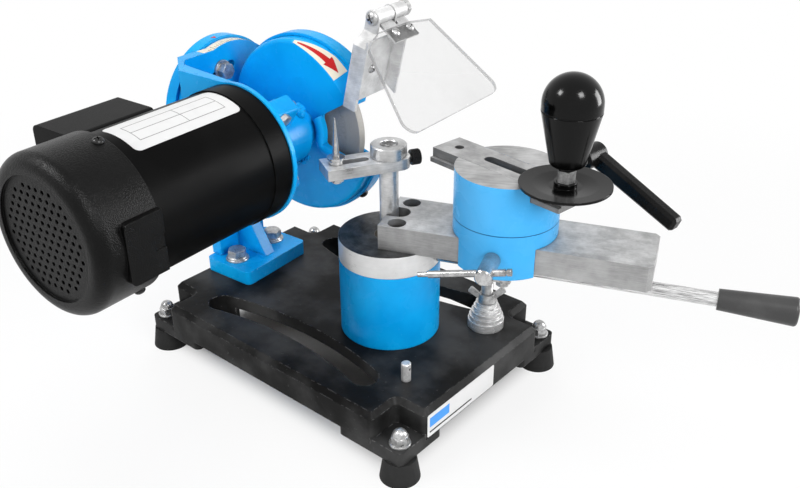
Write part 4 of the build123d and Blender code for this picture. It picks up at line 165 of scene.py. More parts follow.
class Value:
    """A socket of a node tree that takes part in Python arithmetic."""

    def __init__(self, sheet: "Sheet", socket: bpy.types.NodeSocket) -> None:
        """Wrap a socket of a node tree under construction."""
        self.sheet = sheet
        self.socket = socket

    def _math(self, operation: str, *others: "Value | float") -> "Value":
        """Add a Math node on this value and the others."""
        inputs = dict(enumerate((self, *others)))
        return self.sheet.node("Math", {"operation": operation}, inputs)

    def _flipped(self, operation: str, other: float) -> "Value":
        """Add a Math node with this value as its second input."""
        return self.sheet.node("Math", {"operation": operation}, {0: other, 1: self})

    def __add__(self, other: "Value | float") -> "Value":
        """Add another value or number."""
        return self._math("ADD", other)

    def __radd__(self, other: float) -> "Value":
        """Add this value to a number."""
        return self._flipped("ADD", other)

    def __sub__(self, other: "Value | float") -> "Value":
        """Take another value or number away."""
        return self._math("SUBTRACT", other)

    def __rsub__(self, other: float) -> "Value":
        """Take this value away from a number."""
        return self._flipped("SUBTRACT", other)

    def __mul__(self, other: "Value | float") -> "Value":
        """Multiply by another value or number."""
        return self._math("MULTIPLY", other)

    def __rmul__(self, other: float) -> "Value":
        """Multiply a number by this value."""
        return self._flipped("MULTIPLY", other)

    def __pow__(self, other: float) -> "Value":
        """Raise to a power."""
        return self._math("POWER", other)

    def __gt__(self, other: "Value | float") -> "Value":
        """Give 1 where this value is larger, and 0 elsewhere."""
        return self._math("GREATER_THAN", other)

    def larger(self, other: "Value | float") -> "Value":
        """Give the larger of two values."""
        return self._math("MAXIMUM", other)

    def size(self) -> "Value":
        """Give the value without its sign."""
        return self._math("ABSOLUTE")

    def between(self, low: float, high: float) -> "Value":
        """Rise softly from 0 at low to 1 at high."""
        ends = {"Value": self, "From Min": low, "From Max": high}
        return self.sheet.node("MapRange", {"interpolation_type": "SMOOTHSTEP"}, ends)


class Sheet:
    """The node tree of one material, or of the room, under construction."""

    def __init__(self, owner: "bpy.types.Material | bpy.types.World") -> None:
        """Start with an empty tree.

        Args:
            owner: The material or room that the tree belongs to.
        """
        owner.use_nodes = True
        self.owner = owner
        self.tree = owner.node_tree
        self.tree.nodes.clear()

    def node(
        self, kind: str, settings: dict[str, Any], inputs: dict[Any, Any], output: int | str = 0
    ) -> Value:
        """Add one node.

        Args:
            kind: The node's type, without its ShaderNode prefix.
            settings: Properties that are set first.
            inputs: Values or links of its sockets, by name or index.
            output: The output that is handed on.

        Returns:
            The wrapped output socket, or the input of a node that ends the tree.
        """
        made = self.tree.nodes.new("ShaderNode" + kind)
        for key, setting in settings.items():
            setattr(made, key, setting)
        for key, value in inputs.items():
            if isinstance(value, Value):
                self.tree.links.new(value.socket, made.inputs[key])
            else:
                made.inputs[key].default_value = value
        return Value(self, (made.outputs or made.inputs)[output])

    def where(self, place: Place | None = None) -> Value:
        """Give the object coordinates.

        Args:
            place: The frame to measure them in, where it isn't the machine's own.

        Returns:
            The coordinates in metres.
        """
        plain = self.node("TexCoord", {}, {}, "Object")
        if place is None:
            return plain
        turn = place.matrix().to_euler("XYZ")
        seat = {"Vector": plain, "Location": place.origin, "Rotation": turn}
        return self.node("Mapping", {"vector_type": "TEXTURE"}, seat)

    def parts(self, vector: Value) -> list[Value]:
        """Split a vector into its three numbers."""
        outs = self.node("SeparateXYZ", {}, {0: vector}).socket.node.outputs
        return [Value(self, out) for out in outs]

    def joined(self, x: Value | float, y: Value | float, z: Value | float) -> Value:
        """Join three numbers into a vector."""
        return self.node("CombineXYZ", {}, {0: x, 1: y, 2: z})

    def noise(
        self, vector: Value, scale: float, detail: float = 3.0, roughness: float = 0.5
    ) -> Value:
        """Give cloudy noise from 0 to 1."""
        look = {"Vector": vector, "Scale": scale, "Detail": detail, "Roughness": roughness}
        return self.node("TexNoise", {}, look)

    def grains(self, vector: Value, scale: float) -> Value:
        """Give the distance to the nearest of scattered points."""
        return self.node("TexVoronoi", {"feature": "F1"}, {"Vector": vector, "Scale": scale})

    def mixed(self, first: Any, second: Any, share: Any) -> Value:
        """Mix two colours by a share."""
        return self.node("Mix", {"data_type": "RGBA"}, {0: share, 6: first, 7: second}, 2)

    def rounding(self, radius: float) -> Value:
        """Give the normal with sharp edges rounded to a radius in millimetres."""
        return self.node("Bevel", {"samples": 4}, {"Radius": radius * MM})

    def along(self, direction: Any) -> Value:
        """Give how far a face looks along a direction, from -1 to 1."""
        both = {0: self.node("NewGeometry", {}, {}, "Normal"), 1: direction}
        return self.node("VectorMath", {"operation": "DOT_PRODUCT"}, both, "Value")

    def edges(self, rounded: Value) -> Value:
        """Give 1 along edges, where the rounded normal leaves the face's own."""
        return (1.0 - self.along(rounded)).between(0.01, 0.2)

    def crevice(self, reach: float) -> Value:
        """Give 1 deep in corners and gaps within a reach in millimetres, where colour is darkened
        as painted shade.
        """
        open_share = self.node("AmbientOcclusion", {"samples": 4}, {"Distance": reach * MM}, "AO")
        return (1.0 - open_share).between(0.3, 0.85)

    def bump(self, height: Value, depth: float, normal: Value, strength: float = 1.0) -> Value:
        """Add relief of a depth in millimetres to a normal."""
        relief = {"Height": height, "Distance": depth * MM, "Strength": strength, "Normal": normal}
        return self.node("Bump", {}, relief)

    def surface(self, **sockets: Any) -> bpy.types.Material:
        """End a material with one principled surface.

        Args:
            sockets: Values or links of the surface, with underscores in place of spaces.

        Returns:
            The finished material.
        """
        named = {key.replace("_", " "): value for key, value in sockets.items()}
        self.node("OutputMaterial", {}, {"Surface": self.node("BsdfPrincipled", {}, named)})
        return self.owner


@dataclass(frozen=True)
class Finish:
    """Something that a surface can be given. Each finish makes its material once."""

    name: str
    slot: str

    def material(self) -> bpy.types.Material:
        """Give the finish's material, made on first use."""
        made = bpy.data.materials.get(self.name)
        return made or self.make(Sheet(bpy.data.materials.new(self.name)))

    def make(self, sheet: Sheet) -> bpy.types.Material:
        """Build the material's nodes."""
        raise NotImplementedError


@dataclass(frozen=True)
class Enamel(Finish):
    """Stoved gloss paint, with a bare metal top above a height where one is given."""

    colour: Colour
    shade: Colour
    # edge colour: worn paint, and a painted highlight along edges
    edge_wear_and_highlight: Colour
    # painted shade in corners and gaps, and the colour of the dark seam line
    crevice_shade_and_seam: Colour
    gloss: float = 0.2
    lumps: float = 0.25
    edge: float = 1.0
    specular: float = 0.14
    cloud: Pair = (0.25, 0.62)
    # share of worn paint and painted highlight on the edges
    wear_and_highlight_share: float = 0.5
    bare_above: float | None = None
    seam_at: float = 0.0
    steel: tuple[Colour, Colour] = (grey(150), grey(202))
    lay: float = 35.0  # turn of the tool marks on the bare top, in degrees

    def make(self, sheet: Sheet) -> bpy.types.Material:
        """Build the paint: cloudy colour, worn edges with a painted highlight, painted shade in
        corners, casting lumps and orange peel.

        Args:
            sheet: The material's empty tree.

        Returns:
            The finished material.
        """
        spot = sheet.where()
        rounded = sheet.rounding(self.edge)
        # mask of edges that carry both wear and a painted highlight
        wear_and_highlight_mask = sheet.edges(rounded) * sheet.noise(spot, 240, 5).between(0.46, 0.62)
        colour = sheet.mixed(self.shade, self.colour, sheet.noise(spot, 16, 5).between(*self.cloud))
        colour = sheet.mixed(colour, self.edge_wear_and_highlight, wear_and_highlight_mask * self.wear_and_highlight_share)
        specks = sheet.noise(spot, 330, 2).between(0.7, 0.76)
        colour = sheet.mixed(colour, self.edge_wear_and_highlight, specks * 0.12)
        # painted shade: darker deep in corners and gaps
        colour = sheet.mixed(colour, self.crevice_shade_and_seam, sheet.crevice(5.0) * 0.75)
        gloss = self.gloss + sheet.noise(spot, 45, 4) * 0.14 + wear_and_highlight_mask * 0.12
        relief = sheet.noise(spot, 70, 3) * self.lumps + sheet.noise(spot, 700, 2) * 0.02
        normal = sheet.bump(relief, 1.0, rounded, 0.6)
        if self.bare_above is None:
            return sheet.surface(
                Base_Color=colour, Roughness=gloss, Normal=normal, Specular_IOR_Level=self.specular
            )
        height = sheet.parts(spot)[2]
        seam = (height - self.seam_at).size().between(0.2 * MM, 0.6 * MM)
        colour = sheet.mixed(self.crevice_shade_and_seam, colour, seam)
        bare = (height > self.bare_above) * (sheet.along(UP) > 0.9)
        x, y, _ = sheet.parts(sheet.where(TURRET.turned(self.lay)))
        streak = sheet.noise(sheet.joined(x * 0.06, y, 0.0), 420, 5, 0.6)
        blotch = sheet.noise(spot, 38, 5, 0.6)
        steel = sheet.mixed(*self.steel, (streak * 0.4 + blotch * 0.6).between(0.3, 0.7))
        return sheet.surface(
            Base_Color=sheet.mixed(colour, steel, bare), Metallic=bare, Normal=normal,
            Roughness=gloss + bare * (0.15 + blotch * 0.3), Specular_IOR_Level=self.specular,
        )


class Cut(Enum):
    """How a metal surface was worked."""

    TURNED = "turned"
    MILLED = "milled"
    PLATED = "plated"


@dataclass(frozen=True)
class Steel(Finish):
    """Bare or plated metal, with the marks of how it was worked."""

    cut: Cut
    dark: Colour
    light: Colour
    gloss: float
    place: Place | None = None
    marks: float = 0.02
    blotch: float = 30.0
    edge: float = 0.4
    # tones of upward faces, painted lighter or darker for the light and reflections that fall on
    # them
    top: tuple[Colour, Colour] | None = None
    metal: float = 0.8
    streak: float = 0.28
    # painted shade deep in corners and gaps
    crevice_shade: Colour = grey(26)

    def make(self, sheet: Sheet) -> bpy.types.Material:
        """Build the metal: tool marks, blotches, a painted highlight on its edges, painted shade in
        its gaps and painted light on its top.

        Args:
            sheet: The material's empty tree.

        Returns:
            The finished material.
        """
        spot = sheet.where(self.place)
        x, y, z = sheet.parts(spot)
        rounded = sheet.rounding(self.edge)
        groove = self._groove(sheet, spot, x, y, z)
        cloud = sheet.noise(spot, self.blotch, 5, 0.6)
        tone = (cloud * (1 - self.streak) + groove * self.streak).between(0.3, 0.7)
        colour = sheet.mixed(self.dark, self.light, tone)
        rough = self.gloss + (cloud - 0.5) * 0.16 + (groove - 0.5) * 0.1
        # painted light: upward faces take the top tones, lighter where lit, darker where a dark
        # reflection falls
        if self.top:
            upward = sheet.along(UP).between(0.85, 0.95)
            painted_top_mottle = (sheet.noise(spot, 55, 6, 0.7) * 0.7 + groove * 0.3).between(0.34, 0.68)
            colour = sheet.mixed(colour, sheet.mixed(*self.top, painted_top_mottle), upward)
            rough = rough + upward * 0.12
        # painted highlight: edges mixed halfway to the light tone
        colour = sheet.mixed(colour, self.light, sheet.edges(rounded) * 0.5)
        # painted shade: darker deep in corners and gaps
        colour = sheet.mixed(colour, self.crevice_shade, sheet.crevice(7.0) * 0.85)
        normal = sheet.bump(groove, self.marks, rounded, 0.5)
        return sheet.surface(
            Base_Color=colour, Metallic=self.metal, Roughness=rough.larger(0.05), Normal=normal,
            Specular_IOR_Level=0.3,
        )

    def _groove(self, sheet: Sheet, spot: Value, x: Value, y: Value, z: Value) -> Value:
        """Give the tool marks.

        Args:
            sheet: The material under construction.
            spot: The place on the surface.
            x: Its first number.
            y: Its second number.
            z: Its third number.

        Returns:
            Noise that is drawn out along the cut.
        """
        if self.cut is Cut.TURNED:
            radius = (x * x + y * y) ** 0.5
            turn = sheet.node("Math", {"operation": "ARCTAN2"}, {0: y, 1: x})
            return sheet.noise(sheet.joined(radius, z, turn * 0.0006), 2600, 3, 0.65)
        if self.cut is Cut.MILLED:
            return sheet.noise(sheet.joined(x * 0.05, y, z), 1500, 4, 0.6)
        return sheet.noise(spot, 900, 3)


@dataclass(frozen=True)
class Moulding(Finish):
    """Moulded plastic or rubber, or a powder coat."""

    colour: Colour
    dust: Colour
    gloss: float
    grain: float
    pitch: float = 900.0
    edge: float = 0.8
    specular: float = 0.4

    def make(self, sheet: Sheet) -> bpy.types.Material:
        """Build the moulding: pebbled grain, worn edges and a little dust.

        Args:
            sheet: The material's empty tree.

        Returns:
            The finished material.
        """
        spot = sheet.where()
        rounded = sheet.rounding(self.edge)
        pebble = sheet.grains(spot, self.pitch).between(0.0, 0.75)
        cloud = sheet.noise(spot, 26, 4)
        share = cloud.between(0.45, 0.85) * 0.3 + sheet.edges(rounded) * 0.25
        fleck = sheet.noise(spot, self.pitch, 2).between(0.55, 0.7) * min(1.0, 4 * self.grain)
        colour = sheet.mixed(self.colour, self.dust, share + fleck * 0.3)
        gloss = self.gloss + (cloud - 0.5) * 0.12 + pebble * 0.05
        relief = pebble + sheet.noise(spot, 0.3 * self.pitch, 3) * 0.6
        return sheet.surface(
            Base_Color=colour, Roughness=gloss.larger(0.04), Specular_IOR_Level=self.specular,
            Normal=sheet.bump(relief, self.grain, rounded, 0.7),
        )


@dataclass(frozen=True)
class Grit(Finish):
    """A bonded abrasive wheel, with a brighter band where it grinds."""

    colour: Colour
    grain: Colour
    band: Colour
    band_at: Pair = (48.0, 50.5)  # radii in millimetres between which the band begins

    def make(self, sheet: Sheet) -> bpy.types.Material:
        """Build the abrasive: grains of two tones, pores and turned rings.

        Args:
            sheet: The material's empty tree.

        Returns:
            The finished material.
        """
        spot = sheet.where(HEAD)
        x, y, z = sheet.parts(spot)
        radius = (x * x + y * y) ** 0.5
        grains = sheet.grains(spot, 1400)
        rings = sheet.noise(sheet.joined(radius, z, 0.0), 700, 3)
        colour = sheet.mixed(self.colour, self.grain, grains.between(0.2, 0.7))
        band = radius.between(self.band_at[0] * MM, self.band_at[1] * MM)
        colour = sheet.mixed(colour, self.band, band * (0.4 + rings * 0.6))
        normal = sheet.bump(grains + rings * 0.5, 0.12, sheet.rounding(0.5), 0.7)
        return sheet.surface(
            Base_Color=colour, Roughness=0.5 + rings * 0.2, Normal=normal, Metallic=0.3
        )


@dataclass(frozen=True)
class Pane(Finish):
    """Clear plastic sheet with sawn edges."""

    colour: Colour
    edge: Colour

    def make(self, sheet: Sheet) -> bpy.types.Material:
        """Build the pane: almost clear faces with faint handling marks, and greyer edges.

        Args:
            sheet: The material's empty tree.

        Returns:
            The finished material.
        """
        haze = sheet.noise(sheet.where(), 90, 5, 0.7).between(0.45, 0.85)
        rim = 1.0 - sheet.along(SHIELD.y).size().between(0.3, 0.8)
        return sheet.surface(
            Base_Color=sheet.mixed(self.colour, self.edge, rim), Roughness=0.06 + haze * 0.08,
            Alpha=0.17 + haze * 0.03 + rim * 0.4, Normal=sheet.rounding(0.4),
            Specular_IOR_Level=0.3,
        )


@dataclass(frozen=True)
class Print(Finish):
    """Printed film: one ink on a slightly soiled ground."""

    colour: Colour
    soil: Colour

    def make(self, sheet: Sheet) -> bpy.types.Material:
        """Build the film: faint soiling and a satin skin.

        Args:
            sheet: The material's empty tree.

        Returns:
            The finished material.
        """
        spot = sheet.where()
        cloud = sheet.noise(spot, 90, 4)
        colour = sheet.mixed(self.colour, self.soil, cloud.between(0.5, 0.9) * 0.4)
        normal = sheet.bump(sheet.noise(spot, 900, 2), 0.01, sheet.rounding(0.1), 0.5)
        return sheet.surface(
            Base_Color=colour, Roughness=0.36 + cloud * 0.1, Normal=normal, Specular_IOR_Level=0.2
        )


BLUE = Enamel(
    "blue_enamel", "machine_blue", ink(12, 168, 238), ink(2, 146, 220), ink(110, 200, 252),
    ink(0, 70, 124), gloss=0.2,
)
# a paler, lit copy of the machine's blue: painted light on the saddle and turret
BLUE_TURRET = Enamel(
    "blue_enamel_turret", "machine_blue", ink(78, 172, 230), ink(60, 164, 226), ink(130, 206, 250),
    ink(0, 84, 146), lumps=0.05, bare_above=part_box("turret")[1].z - 0.2 * MM,
    seam_at=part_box("turret")[0].z,
)
# its light cloudy patches are partly uneven paint and partly a painted sheen on the casting
BLACK = Enamel(
    "black_casting_enamel", "base_black", grey(62), grey(20), grey(130), grey(6), gloss=0.26,
    lumps=0.5, edge=1.6, specular=0.05, cloud=(0.4, 0.68), wear_and_highlight_share=0.8,
)
MOTOR = Enamel(
    "motor_black_paint", "motor_black", grey(11), grey(4), grey(50), grey(2), gloss=0.3, lumps=0.02,
    edge=0.6, specular=0.04,
)
COVER = Moulding(
    "fan_cover_plastic", "cover_black", grey(4), grey(28), gloss=0.28, grain=0.2, pitch=1000,
    specular=0.13,
)
BOX = Moulding(
    "terminal_box_plastic", "cover_black", grey(8), grey(40), gloss=0.38, grain=0.05, pitch=1300,
    specular=0.07,
)
KNOB = Moulding(
    "knob_plastic", "grip_black", grey(4), grey(12), gloss=0.12, grain=0.004, pitch=600,
    specular=0.18,
)
GRIP = Moulding(
    "grip_rubber", "grip_black", grey(56), grey(116), gloss=0.32, grain=0.05, pitch=900,
    specular=0.3,
)
RUBBER = Moulding(
    "foot_rubber_moulding", "foot_rubber", grey(36), grey(70), gloss=0.6, grain=0.05, pitch=700,
    specular=0.1,
)
LEVER_BLACK = Moulding(
    "lever_powder_coat", "black_steel", grey(10), grey(50), gloss=0.24, grain=0.04, pitch=1100,
    specular=0.14,
)
BLACK_STEEL = Moulding(
    "blackened_screw_steel", "black_steel", grey(18), grey(70), gloss=0.28, grain=0.02, pitch=1500,
    specular=0.3,
)
GREEN = Moulding(
    "start_button_plastic", "go_green", ink(30, 140, 60), ink(70, 160, 90), gloss=0.3, grain=0.02
)
RED = Moulding(
    "stop_button_plastic", "stop_red", ink(196, 30, 32), ink(214, 80, 76), gloss=0.3, grain=0.02
)
# the collar's dark top is a painted reflection of the dark motor
COLLAR = Steel(
    "ground_collar_steel", "ground_steel", Cut.TURNED, grey(204), grey(228), gloss=0.3,
    place=PILLAR, top=(grey(24), grey(96)), metal=0.45,
)
POST = Steel(
    "ground_post_steel", "ground_steel", Cut.TURNED, grey(144), grey(220), gloss=0.3, place=PILLAR
)
# the tops of the bar, slide and stop arm are painted lighter than their sides, as painted light
BAR = Steel(
    "milled_bar_steel", "bar_steel", Cut.MILLED, grey(132), grey(178), gloss=0.46, place=PILLAR,
    marks=0.05, blotch=24, top=(grey(160), grey(208)), metal=0.6,
)
SLIDE = Steel(
    "milled_slide_steel", "bar_steel", Cut.MILLED, grey(98), grey(136), gloss=0.46, place=TURRET,
    marks=0.04, blotch=30, top=(grey(146), grey(188)), metal=0.6,
)
STOP_STEEL = Steel(
    "milled_stop_steel", "bar_steel", Cut.MILLED, grey(120), grey(192), gloss=0.3, place=STOP,
    marks=0.04, blotch=40, top=(grey(190), grey(244)), metal=0.65,
)
CHROME = Steel(
    "bright_screw_steel", "bright_steel", Cut.PLATED, grey(128), grey(204), gloss=0.18, marks=0.005,
    blotch=70,
)
ROD = Steel(
    "drawn_rod_steel", "bright_steel", Cut.MILLED, grey(132), grey(246), gloss=0.2, place=PILLAR,
    marks=0.01, blotch=30, streak=0.9,
)
ZINC = Steel(
    "zinc_plate", "zinc", Cut.PLATED, grey(124), grey(204), gloss=0.3, marks=0.02, blotch=130,
    metal=0.7,
)
PALE_ZINC = Steel(
    "pale_zinc_plate", "zinc", Cut.PLATED, grey(176), grey(222), gloss=0.36, marks=0.02, blotch=90,
    metal=0.4,
)
RING_STEEL = Steel(
    "turned_ring_steel", "ground_steel", Cut.TURNED, grey(168), grey(250), gloss=0.26, place=RINGS,
    marks=0.04, metal=0.6,
)
CLAMP_STEEL = Steel(
    "turned_clamp_steel", "bright_steel", Cut.TURNED, grey(130), grey(204), gloss=0.24, place=CLAMP
)
ALUMINIUM = Steel(
    "rolled_aluminium", "sheet_aluminium", Cut.MILLED, grey(176), grey(226), gloss=0.55,
    place=HINGE, marks=0.06, blotch=60, metal=0.3,
)
INNER_STEEL = Steel(
    "inner_steel", "ground_steel", Cut.TURNED, grey(140), grey(206), gloss=0.28, place=HEAD
)
BRONZE = Steel(
    "bush_bronze", "bronze", Cut.TURNED, ink(148, 110, 58), ink(198, 156, 92), gloss=0.3,
    place=PILLAR, top=(ink(46, 40, 32), ink(80, 66, 46)),
)
WHEEL = Grit(
    "grinding_grit", "abrasive", ink(126, 124, 121), ink(156, 153, 149), ink(160, 157, 152)
)
PANE = Pane("clear_sheet", "clear_pane", grey(196), grey(150))
CREAM = Print("cream_film", "machine_blue", ink(226, 218, 200), ink(200, 190, 170))
WHITE = Print("white_film", "motor_black", grey(218), grey(202))
ARROW_RED = Print("red_film", "machine_blue", ink(182, 22, 24), ink(164, 28, 28))
FILM_BLUE = Print("blue_film", "machine_blue", ink(70, 150, 228), ink(62, 134, 210))
FILM_GREY = Print("grey_film", "motor_black", grey(112), grey(100))
FILM_BLACK = Print("black_film", "motor_black", grey(34), grey(50))


class Drive(Enum):
    """The recess in a screw's head: half length and half width of its cuts, in head radii."""

    CROSS = ((0.58, 0.13), (0.13, 0.58))
    SLOT = ((0.86, 0.12),)


def arc(sweep: float, steps: int) -> list[float]:
    """Give evenly spread turns from 0 to a sweep in degrees, in radians."""
    return [math.radians(sweep * step / steps) for step in range(steps + 1)]


def dome_profile(radius: float, height: float, low: float = 0.0) -> list[Pair]:
    """Give the profile of a dome above a height, from its top to its rim."""
    return [(radius * math.sin(turn), low + height * math.cos(turn)) for turn in arc(90, 6)]


def six_sided(corner: float, turn: float) -> float:
    """Give a hexagon's radius at a turn, from its radius over the corners."""
    return corner * math.cos(math.pi / 6) / math.cos(turn % (math.pi / 3) - math.pi / 6)


def linked(name: str, data: bpy.types.ID) -> bpy.types.Object:
    """Put new data in the scene.

    Args:
        name: The object's name.
        data: Its mesh, lamp or camera.

    Returns:
        The new object, at the origin.
    """
    made = bpy.data.objects.new(name, data)
    bpy.context.scene.collection.objects.link(made)
    return made


class Piece:
    """A new piece: a mesh under construction that ends as an object on a body.

    Its lengths are in millimetres.
    """

    weld = 0.002  # how close two points are merged
    sharp = 32.0  # degrees past which an edge stays sharp
    on_cut = 1e-4  # how close a point counts as lying on a cut
    skin = 0.01  # how far the lower side of a film stands off its surface
    hex_flat = 0.95  # radius of a hexagon's turned top, as a share of half its width
    hex_slope = 30.0  # degrees by which a hexagon's corners are turned off
    recess = 0.55  # depth of a driver's recess, as a share of the head's height

    def __init__(self, name: str) -> None:
        """Start an empty mesh."""
        self.name = name
        self.mesh = bmesh.new()

    def _fresh(self, before: set[bmesh.types.BMVert]) -> list[bmesh.types.BMVert]:
        """Give the points that were made since the list before."""
        return [vert for vert in self.mesh.verts if vert not in before]

    def _sew(self, before: set[bmesh.types.BMVert]) -> None:
        """Merge doubles among the new points and turn their faces outwards.

        Args:
            before: The points that were there already.
        """
        bmesh.ops.remove_doubles(self.mesh, verts=self._fresh(before), dist=self.weld * MM)
        faces = {face for vert in self._fresh(before) for face in vert.link_faces}
        bmesh.ops.recalc_face_normals(self.mesh, faces=list(faces))

    def _cut(self, verts: Sequence[bmesh.types.BMVert], axis: int, place: float) -> None:
        """Cut the faces round some points by an upright plane.

        Args:
            verts: The points.
            axis: 0 for a plane across x, 1 for one across y.
            place: Where the plane crosses that axis, in metres.
        """
        edges = {edge for vert in verts for edge in vert.link_edges}
        faces = {face for vert in verts for face in vert.link_faces}
        normal = Vector((1 - axis, axis, 0))
        bmesh.ops.bisect_plane(
            self.mesh, geom=[*verts, *edges, *faces], plane_co=normal * place, plane_no=normal,
            dist=self.on_cut * MM,
        )

    def _circle(
        self, segments: int, radius: float, height: float, filled: bool = False
    ) -> list[bmesh.types.BMEdge]:
        """Start with a circle about the z axis.

        Args:
            segments: Number of its edges.
            radius: Its radius.
            height: Its height.
            filled: Whether a face closes it.

        Returns:
            Its edges.
        """
        verts = bmesh.ops.create_circle(
            self.mesh, segments=segments, radius=radius * MM, cap_ends=filled
        )["verts"]
        bmesh.ops.translate(self.mesh, vec=height * MM * UP, verts=verts)
        return list({edge for vert in verts for edge in vert.link_edges})

    def _grown(self, edges: list[bmesh.types.BMEdge], place: Reach) -> list[bmesh.types.BMEdge]:
        """Extrude a ring of edges to a new ring.

        Args:
            edges: The ring to start from.
            place: Gives the new ring's radius and height for each turn about the axis.

        Returns:
            The edges of the new ring.
        """
        made = bmesh.ops.extrude_edge_only(self.mesh, edges=edges)["geom"]
        verts = {item for item in made if isinstance(item, bmesh.types.BMVert)}
        for vert in verts:
            turn = math.atan2(vert.co.y, vert.co.x)
            radius, height = place(turn)
            vert.co = MM * Vector((radius * math.cos(turn), radius * math.sin(turn), height))
        links = {edge for vert in verts for edge in vert.link_edges}
        return [edge for edge in links if all(vert in verts for vert in edge.verts)]

    @contextmanager
    def at(self, place: Place) -> Iterator[None]:
        """Put everything that is made inside the block at a place.

        Args:
            place: The frame that it is put in.
        """
        before = set(self.mesh.verts)
        yield
        bmesh.ops.transform(self.mesh, matrix=place.matrix(), verts=self._fresh(before))

    def shell(self, start: Pair, rings: Sequence[Reach], segments: int, holed: bool) -> None:
        """Add a closed shape from rings about the z axis.

        Args:
            start: Radius and height of the first ring, a circle.
            rings: Give each further ring's radius and height for a turn about the axis.
            segments: Number of corners of a ring.
            holed: Whether the last ring joins the first, or else a face closes each of them.
        """
        before = set(self.mesh.verts)
        first = edges = self._circle(segments, *start, filled=not holed)
        for place in rings:
            edges = self._grown(edges, place)
        if holed:
            bmesh.ops.bridge_loops(self.mesh, edges=edges + first)
        else:
            bmesh.ops.edgeloop_fill(self.mesh, edges=edges)
        self._sew(before)

    def lathe(self, profile: Sequence[Pair], steps: int = 40) -> None:
        """Turn a profile about the z axis.

        Args:
            profile: Radius and height of its points, from axis to axis or back to the first point.
            steps: Number of faces round the axis.
        """
        before = set(self.mesh.verts)
        verts = [self.mesh.verts.new((radius * MM, 0, height * MM)) for radius, height in profile]
        edges = [self.mesh.edges.new(pair) for pair in zip(verts, verts[1:])]
        bmesh.ops.spin(
            self.mesh, geom=verts + edges, cent=(0, 0, 0), axis=UP, angle=math.tau, steps=steps,
            use_merge=True,
        )
        self._sew(before)

    def washer(self, inner: float, outer: float, low: float, high: float) -> None:
        """Add a stamped washer with one rounded rim.

        Args:
            inner: Its hole's radius.
            outer: Its own radius.
            low: Height of its lower face.
            high: Height of its upper face.
        """
        soft = 0.3 * (high - low)
        self.lathe((
            (inner, low), (outer, low), (outer, high - soft),
            (outer - 0.35 * soft, high - 0.3 * soft), (outer - soft, high), (inner, high),
            (inner, low),
        ))

    def shank(self, radius: float, low: float, high: float) -> None:
        """Add a plain shank with chamfered ends.

        Args:
            radius: Its radius.
            low: Height of its lower end.
            high: Height of its upper end.
        """
        soft = 0.15 * radius
        self.lathe((
            (0, low), (radius - soft, low), (radius, low + soft), (radius, high - soft),
            (radius - soft, high), (0, high),
        ), steps=24)

    def hexagon(self, radius: float, low: float, high: float, bore: float = 0.0) -> None:
        """Add a hexagon head or nut whose corners are turned off at its upper end.

        Args:
            radius: Size over its corners, halved.
            low: Height of its seat.
            high: Height of its top.
            bore: Radius of its hole, or 0 for a solid head.
        """
        flat = self.hex_flat * radius * math.cos(math.pi / 6)
        slope = math.tan(math.radians(self.hex_slope))

        def shoulder(turn: float) -> Pair:
            """Give the radius and height at which a side meets the turned corners."""
            reach = six_sided(radius, turn)
            return reach, high - (reach - flat) * slope

        rings: list[Reach] = [shoulder, lambda turn: (six_sided(radius, turn), low)]
        if bore:
            rings = [lambda turn: (flat, high), *rings, lambda turn: (bore, low)]
        self.shell((bore or flat, high), rings, segments=48, holed=bool(bore))

    def bolt(self, head: Pair, shank: Pair, seat: float = 0.0) -> None:
        """Add a hexagon bolt.

        Args:
            head: Half the size over its corners, and the head's height.
            shank: The shank's radius, and its length below the plane z = 0.
            seat: Height of the head's seat.
        """
        self.hexagon(head[0], seat, seat + head[1])
        self.shank(shank[0], -shank[1], seat)

    def dome(self, radius: float, height: float, drive: Drive) -> None:
        """Add a domed screw head that sits on z = 0, with a driver's recess.

        Args:
            radius: The head's radius.
            height: Its height.
            drive: The recess.
        """
        before = set(self.mesh.verts)
        self.lathe(dome_profile(radius, height) + [(0, 0)], steps=32)
        for axis in (0, 1):
            for cut in sorted({sign * cut[axis] for cut in drive.value for sign in (-1, 1)}):
                self._cut(self._fresh(before), axis, cut * radius * MM)

        def in_recess(spot: Vector) -> bool:
            """Say whether a place on the head, in millimetres, lies inside its recess."""
            above = spot.z > 0.1 * height
            return above and any(
                abs(spot.x) < x * radius and abs(spot.y) < y * radius for x, y in drive.value
            )

        faces = {face for vert in self._fresh(before) for face in vert.link_faces}
        inside = [face for face in faces if in_recess(face.calc_center_median() / MM)]
        sunk = bmesh.ops.extrude_face_region(self.mesh, geom=inside)["geom"]
        verts = [item for item in sunk if isinstance(item, bmesh.types.BMVert)]
        bmesh.ops.translate(self.mesh, vec=-self.recess * height * MM * UP, verts=verts)
        left = [face for face in inside if face.is_valid]
        bmesh.ops.delete(self.mesh, geom=left, context="FACES")
        self._sew(before)

    def screw(self, head: Pair, drive: Drive, shank: Pair) -> None:
        """Add a domed screw that sits on the plane z = 0.

        Args:
            head: The head's radius and height.
            drive: The recess.
            shank: The shank's radius, and its length below the head.
        """
        self.dome(*head, drive)
        self.shank(shank[0], -shank[1], 0)

    def thread(self, radius: float, pitch: float, low: float, high: float) -> None:
        """Wind a thread's crest round a stud.

        Args:
            radius: The stud's radius.
            pitch: The thread's pitch.
            low: Height of its start.
            high: Height of its end.
        """
        before = set(self.mesh.verts)
        root, crest, width = radius - 0.1, radius + 0.28 * pitch, 0.8 * pitch
        corners = ((root, low), (crest, low + width / 2), (root, low + width))
        verts = [self.mesh.verts.new((reach * MM, 0, height * MM)) for reach, height in corners]
        face = self.mesh.faces.new(verts)
        turns = (high - low) / pitch
        steps = round(24 * turns)
        bmesh.ops.spin(
            self.mesh, geom=[face], cent=(0, 0, 0), axis=UP, dvec=pitch * turns / steps * MM * UP,
            angle=math.tau * turns, steps=steps,
        )
        self._sew(before)

